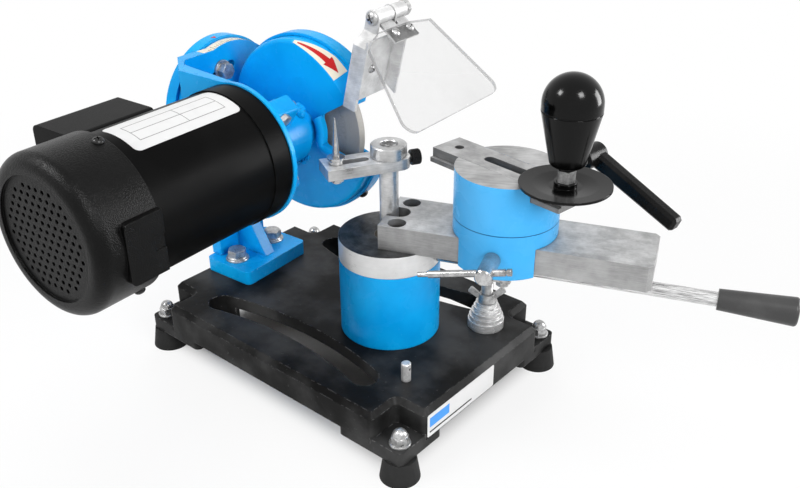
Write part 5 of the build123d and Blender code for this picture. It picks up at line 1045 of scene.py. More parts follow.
    def knurl(
        self, inner: float, outer: float, low: float, high: float, teeth: int, groove: float = 0.93
    ) -> None:
        """Add a ring with straight knurling.

        Args:
            inner: Its bore's radius.
            outer: Radius over the teeth.
            low: Height of its lower face.
            high: Height of its upper face.
            teeth: Number of teeth.
            groove: Radius in the grooves, as a share of that over the teeth.
        """

        def tooth(turn: float) -> float:
            """Give the radius at a turn, where every second corner lies in a groove."""
            return outer if round(turn * teeth / math.pi) % 2 else groove * outer

        self.shell((inner, low), (
            lambda turn: (tooth(turn), low), lambda turn: (tooth(turn), high),
            lambda turn: (inner, high),
        ), segments=2 * teeth, holed=True)

    def lump(self, size: Triple, seed: float) -> None:
        """Add an uneven lump of paint.

        Args:
            size: Its width, depth and height.
            seed: Sets its shape apart from the others.
        """
        before = set(self.mesh.verts)
        swell, pitch = 0.34, 4.2
        self.lathe([(0.5 * math.sin(turn), 0.5 * math.cos(turn)) for turn in arc(180, 20)])
        for vert in self._fresh(before):
            vert.co *= 1 + swell * noise.noise(vert.co * pitch / MM + Vector((seed, 0, 0)))
            vert.co *= Vector(size)

    def outline(self, points: Sequence[Pair]) -> "Piece":
        """Add one flat face through points on the plane z = 0."""
        self.mesh.faces.new([self.mesh.verts.new((x * MM, y * MM, 0)) for x, y in points])
        return self

    def flat_ring(self, inner: float, outer: float) -> "Piece":
        """Add a flat ring on the plane z = 0."""
        self._grown(self._circle(segments=32, radius=inner, height=0), lambda turn: (outer, 0))
        return self

    def plate(
        self, width: float, height: float, x: float = 0, y: float = 0, corner: float = 0
    ) -> "Piece":
        """Add a flat rectangle on the plane z = 0.

        Args:
            width: Its size along x.
            height: Its size along y.
            x: Its middle.
            y: Its middle.
            corner: Radius of its corners.

        Returns:
            This piece.
        """
        verts = bmesh.ops.create_grid(self.mesh, x_segments=1, y_segments=1, size=0.5)["verts"]
        bmesh.ops.scale(self.mesh, vec=(width * MM, height * MM, 1), verts=verts)
        bmesh.ops.translate(self.mesh, vec=(x * MM, y * MM, 0), verts=verts)
        if corner:
            bmesh.ops.bevel(
                self.mesh, geom=verts, offset=corner * MM, offset_type="OFFSET", affect="VERTICES",
                segments=6, profile=0.5, material=-1,
            )
        return self

    def sliced(self, step: float) -> "Piece":
        """Cut the flat mesh into strips and rows, so that it can be laid on a round surface.

        Args:
            step: Largest width of a strip or row.

        Returns:
            This piece.
        """
        for axis in (0, 1):
            places = [vert.co[axis] for vert in self.mesh.verts]
            low, high = min(places), max(places)
            count = max(1, math.ceil((high - low) / (step * MM)))
            for index in range(1, count):
                self._cut(self.mesh.verts[:], axis, low + (high - low) * index / count)
        return self

    def laid(self, node: str, aim: Aim, lift: float) -> "Piece":
        """Lay the flat mesh on a solid as a thin film.

        Args:
            node: The solid that carries it.
            aim: Gives a ray's start and direction for each flat point, in millimetres.
            lift: How far the film's top stands off the surface.

        Returns:
            This piece, now on the surface.
        """
        target = bmesh.new()
        target.from_mesh(frame["nodes"][node].data)
        tree = BVHTree.FromBMesh(target)
        skin = bmesh.ops.extrude_face_region(self.mesh, geom=self.mesh.faces[:])["geom"]
        high = {item for item in skin if isinstance(item, bmesh.types.BMVert)}
        for vert in self.mesh.verts:
            start, way = aim(vert.co / MM)
            place, _, _, _ = tree.ray_cast(start, way)
            if place is None:
                raise ValueError(f"{self.name} misses {node}")
            vert.co = place - way.normalized() * (lift if vert in high else self.skin) * MM
        target.free()
        bmesh.ops.recalc_face_normals(self.mesh, faces=self.mesh.faces[:])
        return self

    def done(self, body: str, finish: Finish, replaced: str = "") -> bpy.types.Object:
        """End the piece.

        Args:
            body: The body that it rides on.
            finish: What it is made of.
            replaced: The solid that it stands for, where there is one.

        Returns:
            The finished object.
        """
        data = bpy.data.meshes.new(self.name)
        for face in self.mesh.faces:
            face.smooth = True
        self.mesh.to_mesh(data)
        self.mesh.free()
        data.set_sharp_from_angle(angle=math.radians(self.sharp))
        data.materials.append(finish.material())
        made = linked(self.name, data)
        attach(made, body)
        if replaced:
            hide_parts(replaced)
        LOG.info("piece %s on %s, %d faces", self.name, body, len(data.polygons))
        return made


class SubAssembly:
    """A group of solids that is dressed together."""

    finishes: dict[str, Finish] = {}

    def dress(self) -> None:
        """Give each solid of the group its finish."""
        for node, finish in self.finishes.items():
            for place in frame["nodes"][node].material_slots:
                place.material = finish.material()
            LOG.info("finish %s on %s", finish.name, node)

    def build(self) -> None:
        """Add the group's new pieces."""


@dataclass
class BaseCasting(SubAssembly):
    """The black base with its feet, cap nuts, pillar, peg and the sticker on its end."""

    foot_in: Pair = (10.0, 11.5)
    stud_radius: float = 4.0
    stud_low: float = 7.3
    ledge: float = 33.0
    washer: Pair = (9.0, 1.8)
    nut: Pair = (7.6, 6.5)
    nut_turn: float = 1e4  # degrees for each metre along x, so that no two nuts stand alike
    dome: float = 6.2
    dome_sunk: float = 1.2
    sticker: Pair = (92.0, 22.4)
    sticker_at: Pair = (37.0, 40.0)
    sticker_corner: float = 1.5
    sticker_off: float = 50.0
    # width, height and middle of what is printed on the sticker, as shares of its size
    blue_field: tuple[float, float, float, float] = (0.28, 0.42, -0.33, 0.12)
    field_corner: float = 0.4
    dark_rule: tuple[float, float, float, float] = (0.62, 0.07, -0.16, -0.3)
    film: float = 0.15
    ink_lift: float = 0.225
    finishes = {
        "base_plate": BLACK, "rubber_feet": RUBBER, "foot_nuts": ZINC, "pillar": BLUE,
        "pillar_screws": BLACK_STEEL, "peg": PALE_ZINC,
    }

    def build(self) -> None:
        """Add the cap nuts and the sticker."""
        self._cap_nuts()
        self._end_sticker()

    def _cap_nuts(self) -> None:
        """Put a stud, a washer and a cap nut on each ledge."""
        low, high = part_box("base_plate")
        seat = self.ledge + self.washer[1]
        top = seat + self.nut[1]
        sunk = top - self.dome_sunk
        cap = dome_profile(self.dome, self.dome, top) + [(self.dome, sunk), (0, sunk)]
        nuts = Piece("cap_nuts")
        for x in (low.x + self.foot_in[0] * MM, high.x - self.foot_in[0] * MM):
            for y in (low.y + self.foot_in[1] * MM, high.y - self.foot_in[1] * MM):
                stud = Place(Vector((x, y, 0)), Vector((1, 0, 0)), UP)
                with nuts.at(stud.turned(self.nut_turn * x)):
                    nuts.shank(self.stud_radius, self.stud_low, seat)
                    nuts.washer(self.stud_radius, self.washer[0], self.ledge, seat)
                    nuts.hexagon(self.nut[0], seat, top)
                    nuts.lathe(cap)
        nuts.done("base", ZINC, "foot_nuts")

    def _end_sticker(self) -> None:
        """Lay a sticker with a blue field and a dark rule on the end wall."""
        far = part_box("base_plate")[1].x + self.sticker_off * MM
        wide, tall = self.sticker

        def aim(flat: Vector) -> tuple[Vector, Vector]:
            """Look at the end wall from outside."""
            side, up = self.sticker_at
            return Vector((far, (side + flat.x) * MM, (up + flat.y) * MM)), Vector((-1, 0, 0))

        for name, (width, height, x, y), corner, lift, finish in (
            ("end_sticker", (1, 1, 0, 0), self.sticker_corner, self.film, WHITE),
            ("end_sticker_field", self.blue_field, self.field_corner, self.ink_lift, FILM_BLUE),
            ("end_sticker_rule", self.dark_rule, 0, self.ink_lift, FILM_BLACK),
        ):
            film = Piece(name).plate(width * wide, height * tall, x * wide, y * tall, corner)
            film.sliced(4).laid("base_plate", aim, lift).done("base", finish)


@dataclass
class SwingArm(SubAssembly):
    """The collar, bar and feed lever."""

    finishes = {
        "collar": COLLAR, "pivot_bush": BRONZE, "bar": BAR, "bar_screws": BLACK_STEEL,
        "lever_rod": ROD, "lever_grip": GRIP,
    }


@dataclass
class Carriage(SubAssembly):
    """The saddle, turret, top slide and their screws."""

    keeper_seat: float = 142.35
    bolt_grid: Pair = (8.0, 36.3)
    bolt_turn: float = 9.0  # degrees for each millimetre across, so that no two heads stand alike
    bolt_hex: Pair = (5.6, 4.2)
    bolt_shank: Pair = (3.0, 14.5)
    finishes = {
        "saddle": BLUE_TURRET, "keeper_plate": ZINC, "keeper_bolts": ZINC, "lock_screw": CHROME,
        "tommy_bar": CHROME, "turret": BLUE_TURRET, "turret_bolt": BLACK_STEEL, "top_slide": SLIDE,
        "clamp_lever": LEVER_BLACK, "clamp_screw": ZINC,
    }

    def build(self) -> None:
        """Add the keeper's bolts, seen from below."""
        bolts = Piece("keeper_hex_bolts")
        for x in (-self.bolt_grid[0], self.bolt_grid[0]):
            for y in (-self.bolt_grid[1], self.bolt_grid[1]):
                seat = CARRIAGE.at(x, y, self.keeper_seat).flipped()
                with bolts.at(seat.turned(self.bolt_turn * y)):
                    bolts.bolt(self.bolt_hex, self.bolt_shank)
        bolts.done("carriage", ZINC, "keeper_bolts")


@dataclass
class BladeClamp(SubAssembly):
    """The stud, dish, nut and knob that hold the blade."""

    nut: Triple = (7.6, 233.0, 243.0)
    nut_turn: float = 18.0
    bore: float = 5.06
    finishes = {"clamp_stud": CLAMP_STEEL, "dish": KNOB, "clamp_nut": ZINC, "knob": KNOB}

    def build(self) -> None:
        """Add the chamfered nut under the knob."""
        nut = Piece("clamp_hex_nut")
        with nut.at(CLAMP.turned(self.nut_turn)):
            nut.hexagon(*self.nut, self.bore)
        nut.done("knob", ZINC, "clamp_nut")


@dataclass
class StopPost(SubAssembly):
    """The post with its cap, the stop arm and the finger."""

    screw_at: Pair = (-17.5, 217.75)
    head: Pair = (6.4, 6.75)
    head_span: Pair = (-9.4, -2.6)
    teeth: int = 40
    cap: Triple = (15.5, 13.9, 10.6)
    cap_turn: float = -1.5
    cap_chamfer: float = 0.8
    mouth: float = 7.6
    mouth_depth: float = 4.6
    mouth_chamfer: Pair = (0.5, 0.7)
    socket: float = 5.6
    socket_depth: float = 8.6
    finishes = {
        "post": POST, "post_cap": POST, "stop_arm": STOP_STEEL, "stop_screw": BLACK_STEEL,
        "stop_finger": CHROME,
    }

    def build(self) -> None:
        """Add the post's cap and the knurling on the clamp screw's head."""
        self._cap()
        ring = Piece("stop_screw_knurl")
        with ring.at(STOP.at(self.screw_at[0], 0, self.screw_at[1]).outward()):
            ring.knurl(*self.head, *self.head_span, self.teeth)
        ring.done("stop_arm", BLACK_STEEL)

    def _cap(self) -> None:
        """Add the thick round cap with one flat, and a six-sided socket under its round mouth."""
        radius, flat, height = self.cap
        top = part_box("post_cap")[1].z / MM
        ledge, floor = top - self.mouth_depth, top - self.socket_depth
        middle = 0.4 * self.socket
        flare, edge = self.mouth + self.mouth_chamfer[0], top - self.mouth_chamfer[1]

        def rim(turn: float) -> float:
            """Give the cap's radius at a turn."""
            return min(radius, flat / max(math.cos(turn), 0.1))

        cap = Piece("post_socket_cap")
        with cap.at(PILLAR.turned(self.cap_turn)):
            cap.shell((middle, floor), (
                lambda turn: (six_sided(self.socket, turn), floor),
                lambda turn: (six_sided(self.socket, turn), ledge),
                lambda turn: (self.mouth, ledge),
                lambda turn: (self.mouth, edge),
                lambda turn: (flare, top),
                lambda turn: (rim(turn) - self.cap_chamfer, top),
                lambda turn: (rim(turn), top - self.cap_chamfer),
                lambda turn: (rim(turn), top - height),
            ), segments=96, holed=False)
        cap.done("arm", POST, "post_cap")


@dataclass
class CentringRings(SubAssembly):
    """The stored rings on their stud."""

    stud: float = 5.0
    pitch: float = 1.5
    thread: Pair = (90.2, 99.6)
    finishes = {"centring_rings": RING_STEEL, "ring_stud": ZINC, "wing_nut": ZINC}

    def build(self) -> None:
        """Wind the thread on the stud's free end."""
        crest = Piece("ring_stud_thread")
        with crest.at(RINGS):
            crest.thread(self.stud, self.pitch, *self.thread)
        crest.done("base", ZINC)


def rim_aim(radius: float, lean: float, along: float) -> Aim:
    """Aim at the rim of a swivel disc.

    Args:
        radius: The disc's radius.
        lean: Where the flat origin lies, in degrees from the top away from the fan.
        along: Its place along the swivel's axis.

    Returns:
        The aim, with the flat x round the rim and the flat y along the axis.
    """

    def aim(flat: Vector) -> tuple[Vector, Vector]:
        """Look at the axis from outside the rim.

        Args:
            flat: The flat point.

        Returns:
            The ray's start and direction.
        """
        turn = math.radians(lean) + flat.x / radius
        out = math.sin(turn) * SWIVEL.x + math.cos(turn) * SWIVEL.y
        return SWIVEL.point(0, 0, along + flat.y) + (radius + RAY_START) * MM * out, -out

    return aim


def barrel_aim(radius: float, turn: float, aft: float) -> Aim:
    """Aim at the motor's round side.

    Args:
        radius: The can's radius.
        turn: Where the flat origin lies, in degrees from the front towards the top.
        aft: Its place along the motor.

    Returns:
        The aim, with the flat x along the motor and the flat y round it.
    """

    def aim(flat: Vector) -> tuple[Vector, Vector]:
        """Look at the motor's axis from outside.

        Args:
            flat: The flat point.

        Returns:
            The ray's start and direction.
        """
        angle = math.radians(turn) + flat.y / radius
        out = math.cos(angle) * HEAD.x + math.sin(angle) * HEAD.y
        return HEAD.point(0, 0, aft + flat.x) + (radius + RAY_START) * MM * out, -out

    return aim


@dataclass
class Stand(SubAssembly):
    """The stand with its swivel disc, bolts and the pointer of the scale."""

    foot_top: float = 70.0
    bolts_at: Pair = (-79.0, 13.0)
    bolt_pitch: float = 25.5
    bolt_turns: Pair = (7.0, -16.0)
    bolt_hex: Pair = (9.5, 9.0)
    bolt_shank: Triple = (4.5, -25.0, 2.0)
    washer: Pair = (11.5, 1.8)
    spring_washer: Pair = (9.89, 1.6)
    swivel_seat: float = -84.2
    swivel_circle: Pair = (41.0, 19.0)
    swivel_hex: Pair = (7.6, 7.0)
    swivel_washer: Pair = (9.5, 2.0)
    swivel_shank: Pair = (4.0, 23.8)
    disc: float = 65.2
    pointer: tuple[Pair, ...] = ((-2.6, -2.4), (2.6, -2.4), (0.0, 2.4))
    pointer_at: Pair = (-5.0, -98.6)
    film: float = 0.15
    finishes = {
        "stand": BLUE, "stand_bolts": ZINC, "swivel_pin": INNER_STEEL, "swivel_bolts": ZINC,
    }

    def build(self) -> None:
        """Add the foot's bolts, the swivel's bolts and the red pointer."""
        self._foot_bolts()
        self._swivel_bolts()
        mark = Piece("scale_pointer").outline(self.pointer).sliced(1.5)
        mark.laid("stand", rim_aim(self.disc, *self.pointer_at), self.film).done("base", ARROW_RED)

    def _foot_bolts(self) -> None:
        """Put two bolts, each with a flat and a spring washer, on the foot."""
        bolts = Piece("stand_hex_bolts")
        x, y = self.bolts_at
        radius, flat = self.bolt_shank[0], self.washer[1]
        seat = flat + self.spring_washer[1]
        for turn, side in zip(self.bolt_turns, (-self.bolt_pitch, self.bolt_pitch)):
            with bolts.at(STAND.at(x, y + side, self.foot_top).turned(turn)):
                bolts.washer(radius, self.washer[0], 0, flat)
                bolts.washer(radius, self.spring_washer[0], flat, seat)
                bolts.hexagon(self.bolt_hex[0], seat, flat + self.bolt_hex[1])
                bolts.shank(*self.bolt_shank)
        bolts.done("base", ZINC, "stand_bolts")

    def _swivel_bolts(self) -> None:
        """Put a bolt and a washer at each end of the swivel's slot."""
        clamps = Piece("swivel_hex_bolts")
        reach, lean = self.swivel_circle
        for turn in (90 + lean, -90 - lean):
            with clamps.at(SWIVEL.turned(turn).at(reach, 0, self.swivel_seat)):
                clamps.washer(self.swivel_shank[0], self.swivel_washer[0], 0, self.swivel_washer[1])
                clamps.bolt(self.swivel_hex, self.swivel_shank, self.swivel_washer[1])
        clamps.done("base", ZINC, "swivel_bolts")


@dataclass
class GrindingHead(SubAssembly):
    """The bracket, motor, wheel and guard."""

    lug_turns: Pair = (57.0, -63.0)
    lug_at: Pair = (38.0, 30.0)
    lug_hex: Pair = (6.6, 4.5)
    lug_shank: Pair = (3.0, 14.0)
    pinch_at: tuple[float, float, float, float] = (57.0, 41.0, 9.0, 48.0)
    screw_head: Pair = (4.4, 3.0)
    screw_radius: float = 2.0
    cover_screws: Triple = (78.0, -58.0, 190.0)
    cover_seat: Triple = (214.0, 62.0, 8.0)
    lid_screws: Triple = (-43.0, 150.0, 238.0)
    lid_seat: Triple = (-19.5, 82.0, 5.9)
    film: float = 0.15
    can: float = 57.5
    sticker: Pair = (104.0, 41.0)
    sticker_at: Pair = (80.5, 143.0)
    sticker_corner: float = 5.0
    # the ruled boxes' lines, as shares of the sticker's height and width, and their thickness
    rows: Triple = (-0.28, -0.02, 0.24)
    columns: Triple = (-0.4, -0.05, 0.4)
    rule: float = 0.5
    rule_lift: float = 0.21
    disc: float = 62.3
    scale: Pair = (80.0, 9.6)
    scale_at: Pair = (8.0, -90.1)
    scale_corner: float = 0.8
    ticks: int = 12  # to each side of the middle
    tick_step: float = 2.5
    tick_width: float = 0.45
    # lengths of a long and a short tick and the height of their upper ends, as shares of the strip
    tick_shares: Triple = (0.62, 0.36, 0.44)
    tick_lift: float = 0.225
    shoulder: Triple = (-30.0, -25.0, 105.6)
    shoulder_low: float = -3.0
    shoulder_rims: Pair = (0.2, 0.8)
    guard: float = 79.0
    arrow_turn: float = 60.0
    arrow_strip: Pair = (28.0, 10.0)
    arrow: tuple[Pair, ...] = (
        (-12.0, 3.6), (5.0, 3.2), (5.0, 1.4), (12.5, 5.0), (5.0, 8.6), (5.0, 6.8), (-12.0, 6.4),
    )
    arrow_lift: float = 0.24
    arrow_off: float = 6.0
    # turn, distance from the axis, place along it and size of each lump
    lumps: tuple[tuple[float, float, float, float], ...] = (
        (58.0, 29.0, 11.0, 9.0), (49.0, 29.5, 14.0, 7.0), (66.0, 30.0, 16.0, 6.0),
        (-46.0, 29.0, 10.0, 5.0), (-54.0, 29.5, 12.0, 6.0), (-62.0, 29.0, 15.0, 4.0),
    )
    lump_long: float = 1.3
    lump_seed: float = 3.7
    button_off: float = -100.0
    button_height: float = 14.0
    start_at: float = 178.5
    start_bar: Pair = (1.2, 7.0)
    stop_at: float = 154.5
    stop_ring: Pair = (2.4, 3.6)
    mark_lift: float = 0.1
    finishes = {
        "head_bracket": BLUE, "lug_bolts": ZINC, "motor_can": MOTOR, "bearings": INNER_STEEL,
        "rotor": INNER_STEEL, "fan": COVER, "fan_cover": COVER, "cover_screws": BLACK_STEEL,
        "terminal_box": BOX, "start_button": GREEN, "stop_button": RED, "cable_gland": BOX,
        "wheel": WHEEL, "wheel_flanges": INNER_STEEL, "guard": BLUE, "guard_lid": BLUE,
    }

    def build(self) -> None:
        """Add the bolts, screws, prints and runs of paint."""
        self._bolts()
        self._screws()
        self._motor_sticker()
        self._swivel_scale()
        self._arrow()
        self._paint_runs()
        self._button_marks()

    def _bolts(self) -> None:
        """Put a hexagon bolt in each lug, and one across the upper one."""
        bolts = Piece("lug_hex_bolts")
        for turn in self.lug_turns:
            with bolts.at(HEAD.turned(turn).at(self.lug_at[0], 0, self.lug_at[1]).flipped()):
                bolts.bolt(self.lug_hex, self.lug_shank)
        bolts.done("head", ZINC, "lug_bolts")
        pinch = Piece("pinch_bolt")
        turn, reach, side, aft = self.pinch_at
        with pinch.at(HEAD.turned(turn - 90).at(side, reach, aft).outward()):
            pinch.bolt(self.lug_hex, (self.lug_shank[0], side))
        pinch.done("head", ZINC)

    def _screws(self) -> None:
        """Put a cross-recessed screw at each of the cover's and the lid's seats."""
        screws = Piece("cover_pan_screws")
        seats = [(turn, *self.cover_seat) for turn in self.cover_screws]
        seats += [(turn, *self.lid_seat) for turn in self.lid_screws]
        for turn, aft, out, deep in seats:
            with screws.at(HEAD.turned(turn).at(out, 0, aft).outward().turned(2 * turn)):
                screws.screw(self.screw_head, Drive.CROSS, (self.screw_radius, deep))
        screws.done("head", BLACK_STEEL, "cover_screws")

    def _motor_sticker(self) -> None:
        """Lay a sticker on the can: a white film with ruled boxes."""
        wide, tall = self.sticker
        aim = barrel_aim(self.can, *self.sticker_at)
        sheet = Piece("motor_sticker").plate(wide, tall, corner=self.sticker_corner)
        sheet.sliced(3).laid("motor_can", aim, self.film).done("head", WHITE)
        rules = Piece("motor_sticker_rules")
        across = (self.columns[2] - self.columns[0]) * wide
        down = (self.rows[2] - self.rows[0]) * tall + self.rule
        for y in self.rows:
            rules.plate(across, self.rule, 0, y * tall)
        for x in self.columns:
            rules.plate(self.rule, down, x * wide, self.rows[1] * tall)
        rules.sliced(3).laid("motor_can", aim, self.rule_lift).done("head", FILM_GREY)

    def _swivel_scale(self) -> None:
        """Lay the scale of the head's tilt on its disc's rim: a cream strip with plain ticks."""
        wide, tall = self.scale
        aim = rim_aim(self.disc, *self.scale_at)
        strip = Piece("tilt_scale").plate(wide, tall, corner=self.scale_corner)
        strip.sliced(2.5).laid("head_bracket", aim, self.film).done("head", CREAM)
        ticks = Piece("tilt_scale_ticks")
        main_tick, small_tick, end = self.tick_shares
        for step in range(-self.ticks, self.ticks + 1):
            length = main_tick if step % 5 == 0 else small_tick
            x = math.radians(self.tick_step * step) * self.disc
            ticks.plate(self.tick_width, length * tall, x, (end - length / 2) * tall)
        ticks.laid("head_bracket", aim, self.tick_lift).done("head", FILM_BLACK)

    def _arrow(self) -> None:
        """Lay the turning arrow on the guard's conical shoulder."""
        x, y, ring = self.shoulder
        axis = HEAD.at(x, y, self.shoulder_low)
        long, wide = self.arrow_strip
        inner, outer = self.shoulder_rims

        def aim(flat: Vector) -> tuple[Vector, Vector]:
            """Look square at the cone: the flat x runs down the arc, the flat y across it.

            Args:
                flat: The flat point, with its x in degrees.

            Returns:
                The ray's start and direction.
            """
            turn = math.radians(self.arrow_turn - flat.x)
            toward = -x * math.cos(turn) - y * math.sin(turn)
            rim = toward + math.sqrt(toward ** 2 + self.guard ** 2 - x ** 2 - y ** 2)
            reach = ring + inner + min(rim - ring - outer, wide) * flat.y / wide
            out = math.cos(turn) * axis.x + math.sin(turn) * axis.y
            spot = axis.origin + MM * (reach * out - (reach - ring) * axis.z)
            return spot + self.arrow_off * MM * (out + axis.z), -(out + axis.z)

        strip = Piece("arrow_strip").plate(long, wide, 0, wide / 2)
        strip.sliced(1).laid("guard", aim, self.film).done("head", CREAM)
        arrow = Piece("arrow").outline(self.arrow)
        arrow.sliced(1).laid("guard", aim, self.arrow_lift).done("head", ARROW_RED)

    def _paint_runs(self) -> None:
        """Add the lumps of paint on the boss's rim."""
        runs = Piece("paint_lumps")
        for index, (turn, reach, aft, size) in enumerate(self.lumps):
            with runs.at(HEAD.turned(turn).at(reach, 0, aft)):
                runs.lump((size, self.lump_long * size, size), self.lump_seed * index)
        runs.done("head", BLUE)

    def _button_marks(self) -> None:
        """Print a bar on the start button and a ring on the stop button."""
        bar = Piece("start_mark").plate(*self.start_bar)
        bar.laid("start_button", self._button_aim(self.start_at), self.mark_lift)
        bar.done("start_button", WHITE)
        ring = Piece("stop_mark").flat_ring(*self.stop_ring)
        ring.laid("stop_button", self._button_aim(self.stop_at), self.mark_lift)
        ring.done("stop_button", WHITE)

    def _button_aim(self, aft: float) -> Aim:
        """Aim at a button's face from outside, with the flat y upwards."""
        return lambda flat: (
            HEAD.point(self.button_off, self.button_height + flat.y, aft + flat.x), HEAD.x
        )


@dataclass
class EyeShield(SubAssembly):
    """The clear shield with its strip, bracket and hinge."""

    strip_at: Triple = (62.2, 34.6, -13.3)
    bolt_head: Pair = (6.0, 3.5)
    bolt_turn: float = 25.0
    bolt_radius: float = 3.0
    bolt_span: Pair = (-11.5, -60.4)
    bolt_pitch: float = 1.0
    bolt_lead: float = 0.4
    nut: Pair = (6.6, 5.5)
    nut_at: float = -52.4
    tab_at: Triple = (6.3, 34.3, -11.0)
    tab_faces: Pair = (2.05, -3.0)
    tab_head: Pair = (3.8, 2.6)
    tab_shank: Pair = (2.0, 7.6)
    tab_turn: float = 40.0
    pane_faces: Pair = (1.5, -3.5)
    pane_head: Pair = (4.0, 2.4)
    pane_shank: Pair = (2.0, 7.4)
    # place down and across the pane, and turn of the slot
    pane_screws: tuple[Triple, ...] = ((19.0, 22.0, 40.0), (19.0, 41.5, 110.0))
    finishes = {
        "shield_strip": ALUMINIUM, "shield_bracket": ALUMINIUM, "shield_bolt": ZINC,
        "shield_leaf": ALUMINIUM, "shield": PANE, "shield_screws": ZINC,
    }

    def build(self) -> None:
        """Add the hinge's bolt, the bracket's screw and the pane's screws."""
        self._hinge_bolt()
        self._pane_screws()

    def _hinge_bolt(self) -> None:
        """Add the hinge's bolt with its nut, and the bracket's screw with its own."""
        bolt = Piece("hinge_bolt")
        near, far = self.bolt_span
        with bolt.at(HINGE.at(0, 0, near).turned(self.bolt_turn)):
            bolt.dome(*self.bolt_head, Drive.CROSS)
        with bolt.at(HINGE):
            bolt.shank(self.bolt_radius, far, near)
            bolt.thread(
                self.bolt_radius, self.bolt_pitch, far + self.bolt_lead, self.nut_at - self.nut[1]
            )
        with bolt.at(HINGE.at(0, 0, self.nut_at).flipped()):
            bolt.hexagon(self.nut[0], 0, self.nut[1])
        x, y, lean = self.strip_at
        tab = HEAD.at(x, y, 0).turned(lean).at(*self.tab_at).outward()
        with bolt.at(tab.at(0, 0, self.tab_faces[0]).turned(self.tab_turn)):
            bolt.screw(self.tab_head, Drive.CROSS, self.tab_shank)
        with bolt.at(tab.at(0, 0, self.tab_faces[1]).flipped()):
            bolt.hexagon(self.tab_head[0], 0, self.tab_head[1])
        bolt.done("head", ZINC, "shield_bolt")

    def _pane_screws(self) -> None:
        """Put two slotted screws with nuts through the pane."""
        face = Place(SHIELD.origin, SHIELD.x, SHIELD.y)
        screws = Piece("pane_screws")
        for down, side, turn in self.pane_screws:
            with screws.at(face.at(down, side, self.pane_faces[0]).turned(turn)):
                screws.screw(self.pane_head, Drive.SLOT, self.pane_shank)
            with screws.at(face.at(down, side, self.pane_faces[1]).flipped()):
                screws.hexagon(self.pane_head[0], 0, self.pane_head[1])
        screws.done("shield", ZINC, "shield_screws")


@dataclass(frozen=True)
class Lamp:
    """A soft box. A glint shows in gloss alone, and the others light all that isn't gloss."""

    name: str
    place: Triple
    size: Pair
    power: float
    glint: bool = False


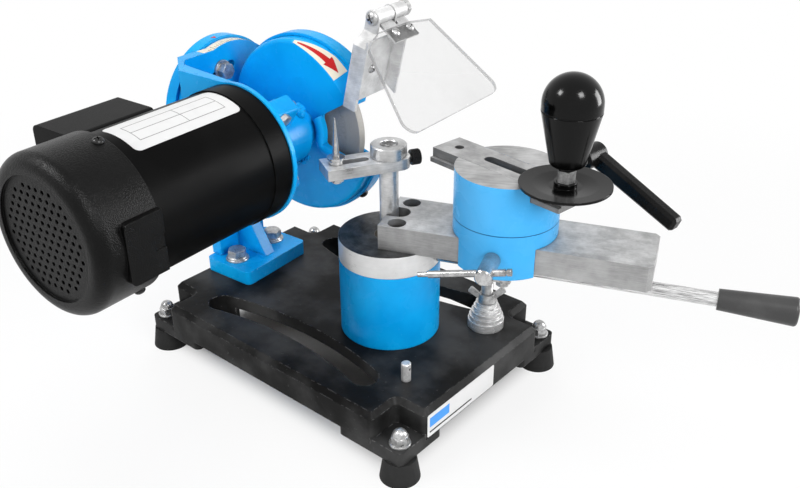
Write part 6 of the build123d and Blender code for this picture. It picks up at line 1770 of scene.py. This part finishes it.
@dataclass
class Studio:
    """The floor, soft lights and the camera."""

    eye: Triple = (0.4164, -0.4667, 0.5235)
    azimuth: float = 40.248
    elevation: float = 28.463
    roll: float = -0.169
    lens: float = 41.3
    sensor: float = 36.0
    clip: Pair = (0.01, 100.0)
    room: float = 0.16
    floor_tone: int = 236
    floor_size: float = 30.0
    floor_glow: float = 0.84  # share of plain white near the machine
    floor_fade: Pair = (0.2, 1.0)  # square metres over which that share grows to all
    floor_margin: float = 0.03
    target: Triple = (0.0, 0.0, 0.15)
    lamps: tuple[Lamp, ...] = (
        Lamp("left_box", (-0.7, -1.5, 1.0), (0.9, 1.0), 20.0),
        Lamp("right_box", (1.6, -0.3, 0.9), (0.9, 1.0), 28.0),
        Lamp("top_box", (-0.1, 0.3, 2.0), (1.8, 1.4), 18.0),
        Lamp("rear_box", (-1.2, 1.4, 1.2), (1.0, 0.8), 13.0),
        Lamp("left_glint", (-0.8, -1.0, 1.5), (0.45, 0.45), 20.0, True),
        Lamp("right_glint", (1.1, -0.3, 1.4), (0.45, 0.45), 18.0, True),
        Lamp("far_glint", (1.1, 1.3, 0.5), (0.6, 0.9), 26.0, True),
    )

    def build(self) -> None:
        """Set up the whole studio."""
        bpy.context.scene.view_settings.view_transform = "Standard"
        self._camera()
        self._floor()
        self._world()
        for lamp in self.lamps:
            self._hang(lamp)

    def _camera(self) -> None:
        """Place the camera at the photograph's angle."""
        turn, rise, lean = map(math.radians, (self.azimuth, self.elevation, self.roll))
        back = Vector((
            math.sin(turn) * math.cos(rise), -math.cos(turn) * math.cos(rise), math.sin(rise)
        ))
        right = Vector((math.cos(turn), math.sin(turn), 0))
        data = bpy.data.cameras.new("camera")
        data.lens, data.sensor_width, data.sensor_fit = self.lens, self.sensor, "HORIZONTAL"
        data.clip_start, data.clip_end = self.clip
        camera = linked("camera", data)
        basis = Matrix((right, back.cross(right), back)).transposed()
        basis = basis @ Matrix.Rotation(lean, 3, "Z")
        camera.matrix_world = Matrix.Translation(self.eye) @ basis.to_4x4()
        bpy.context.scene.camera = camera

    @staticmethod
    def _seen(sheet: Sheet) -> Value:
        """Tell what the camera sees, straight, in gloss or through glass.

        Args:
            sheet: The tree under construction.

        Returns:
            A value that is 1 where it is seen, and 0 where it only gives light.
        """
        outs = sheet.node("LightPath", {}, {}).socket.node.outputs
        ways = [Value(sheet, outs[f"Is {way} Ray"]) for way in ("Camera", "Glossy", "Transmission")]
        return ways[0].larger(ways[1]).larger(ways[2])

    def _floor(self) -> None:
        """Lay a pale floor that shows white, keeps the shadow and is plain under the base."""
        sheet = Sheet(bpy.data.materials.new("floor_white"))
        lit = sheet.node("BsdfDiffuse", {}, {"Color": grey(self.floor_tone)})
        glow = sheet.node("Emission", {}, {"Color": grey(255), "Strength": 1.0})
        low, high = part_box("base_plate")
        x, y, _ = sheet.parts(sheet.where())
        past_x = (x - (low.x + high.x) / 2).size() - (high.x - low.x) / 2
        past_y = (y - (low.y + high.y) / 2).size() - (high.y - low.y) / 2
        clear = past_x.larger(past_y).between(-self.floor_margin, 0.0)
        grown = (x * x + y * y).between(*self.floor_fade) * (1 - self.floor_glow)
        share = self._seen(sheet) * clear * (self.floor_glow + grown)
        both = sheet.node("MixShader", {}, {0: share, 1: lit, 2: glow})
        sheet.node("OutputMaterial", {}, {"Surface": both})
        made = bmesh.new()
        bmesh.ops.create_grid(made, x_segments=1, y_segments=1, size=self.floor_size)
        data = bpy.data.meshes.new("floor")
        made.to_mesh(data)
        made.free()
        data.materials.append(sheet.owner)
        linked("floor", data)

    def _world(self) -> None:
        """Fill the room with soft light, and show it white."""
        world = bpy.data.worlds.new("room")
        bpy.context.scene.world = world
        sheet = Sheet(world)
        dim, white = (
            sheet.node("Background", {}, {"Color": grey(255), "Strength": strength})
            for strength in (self.room, 1.0)
        )
        both = sheet.node("MixShader", {}, {0: self._seen(sheet), 1: dim, 2: white})
        sheet.node("OutputWorld", {}, {"Surface": both})

    def _hang(self, lamp: Lamp) -> None:
        """Hang a soft box so that it looks at the machine.

        Args:
            lamp: The soft box.
        """
        data = bpy.data.lights.new(lamp.name, "AREA")
        data.shape, data.energy = "RECTANGLE", lamp.power
        data.size, data.size_y = lamp.size
        made = linked(lamp.name, data)
        made.visible_glossy, made.visible_diffuse = lamp.glint, not lamp.glint
        turn = (Vector(self.target) - Vector(lamp.place)).to_track_quat("-Z", "Y")
        made.matrix_world = Matrix.Translation(lamp.place) @ turn.to_matrix().to_4x4()


def main() -> None:
    """Dress and build every sub-assembly, then the studio."""
    logging.basicConfig(level=logging.INFO, format="%(name)s: %(message)s")
    groups: tuple[SubAssembly, ...] = (
        BaseCasting(), SwingArm(), Carriage(), BladeClamp(), StopPost(), CentringRings(), Stand(),
        GrindingHead(), EyeShield(),
    )
    for group in groups:
        group.dress()
        group.build()
    Studio().build()


if __name__ == "__main__":
    main()
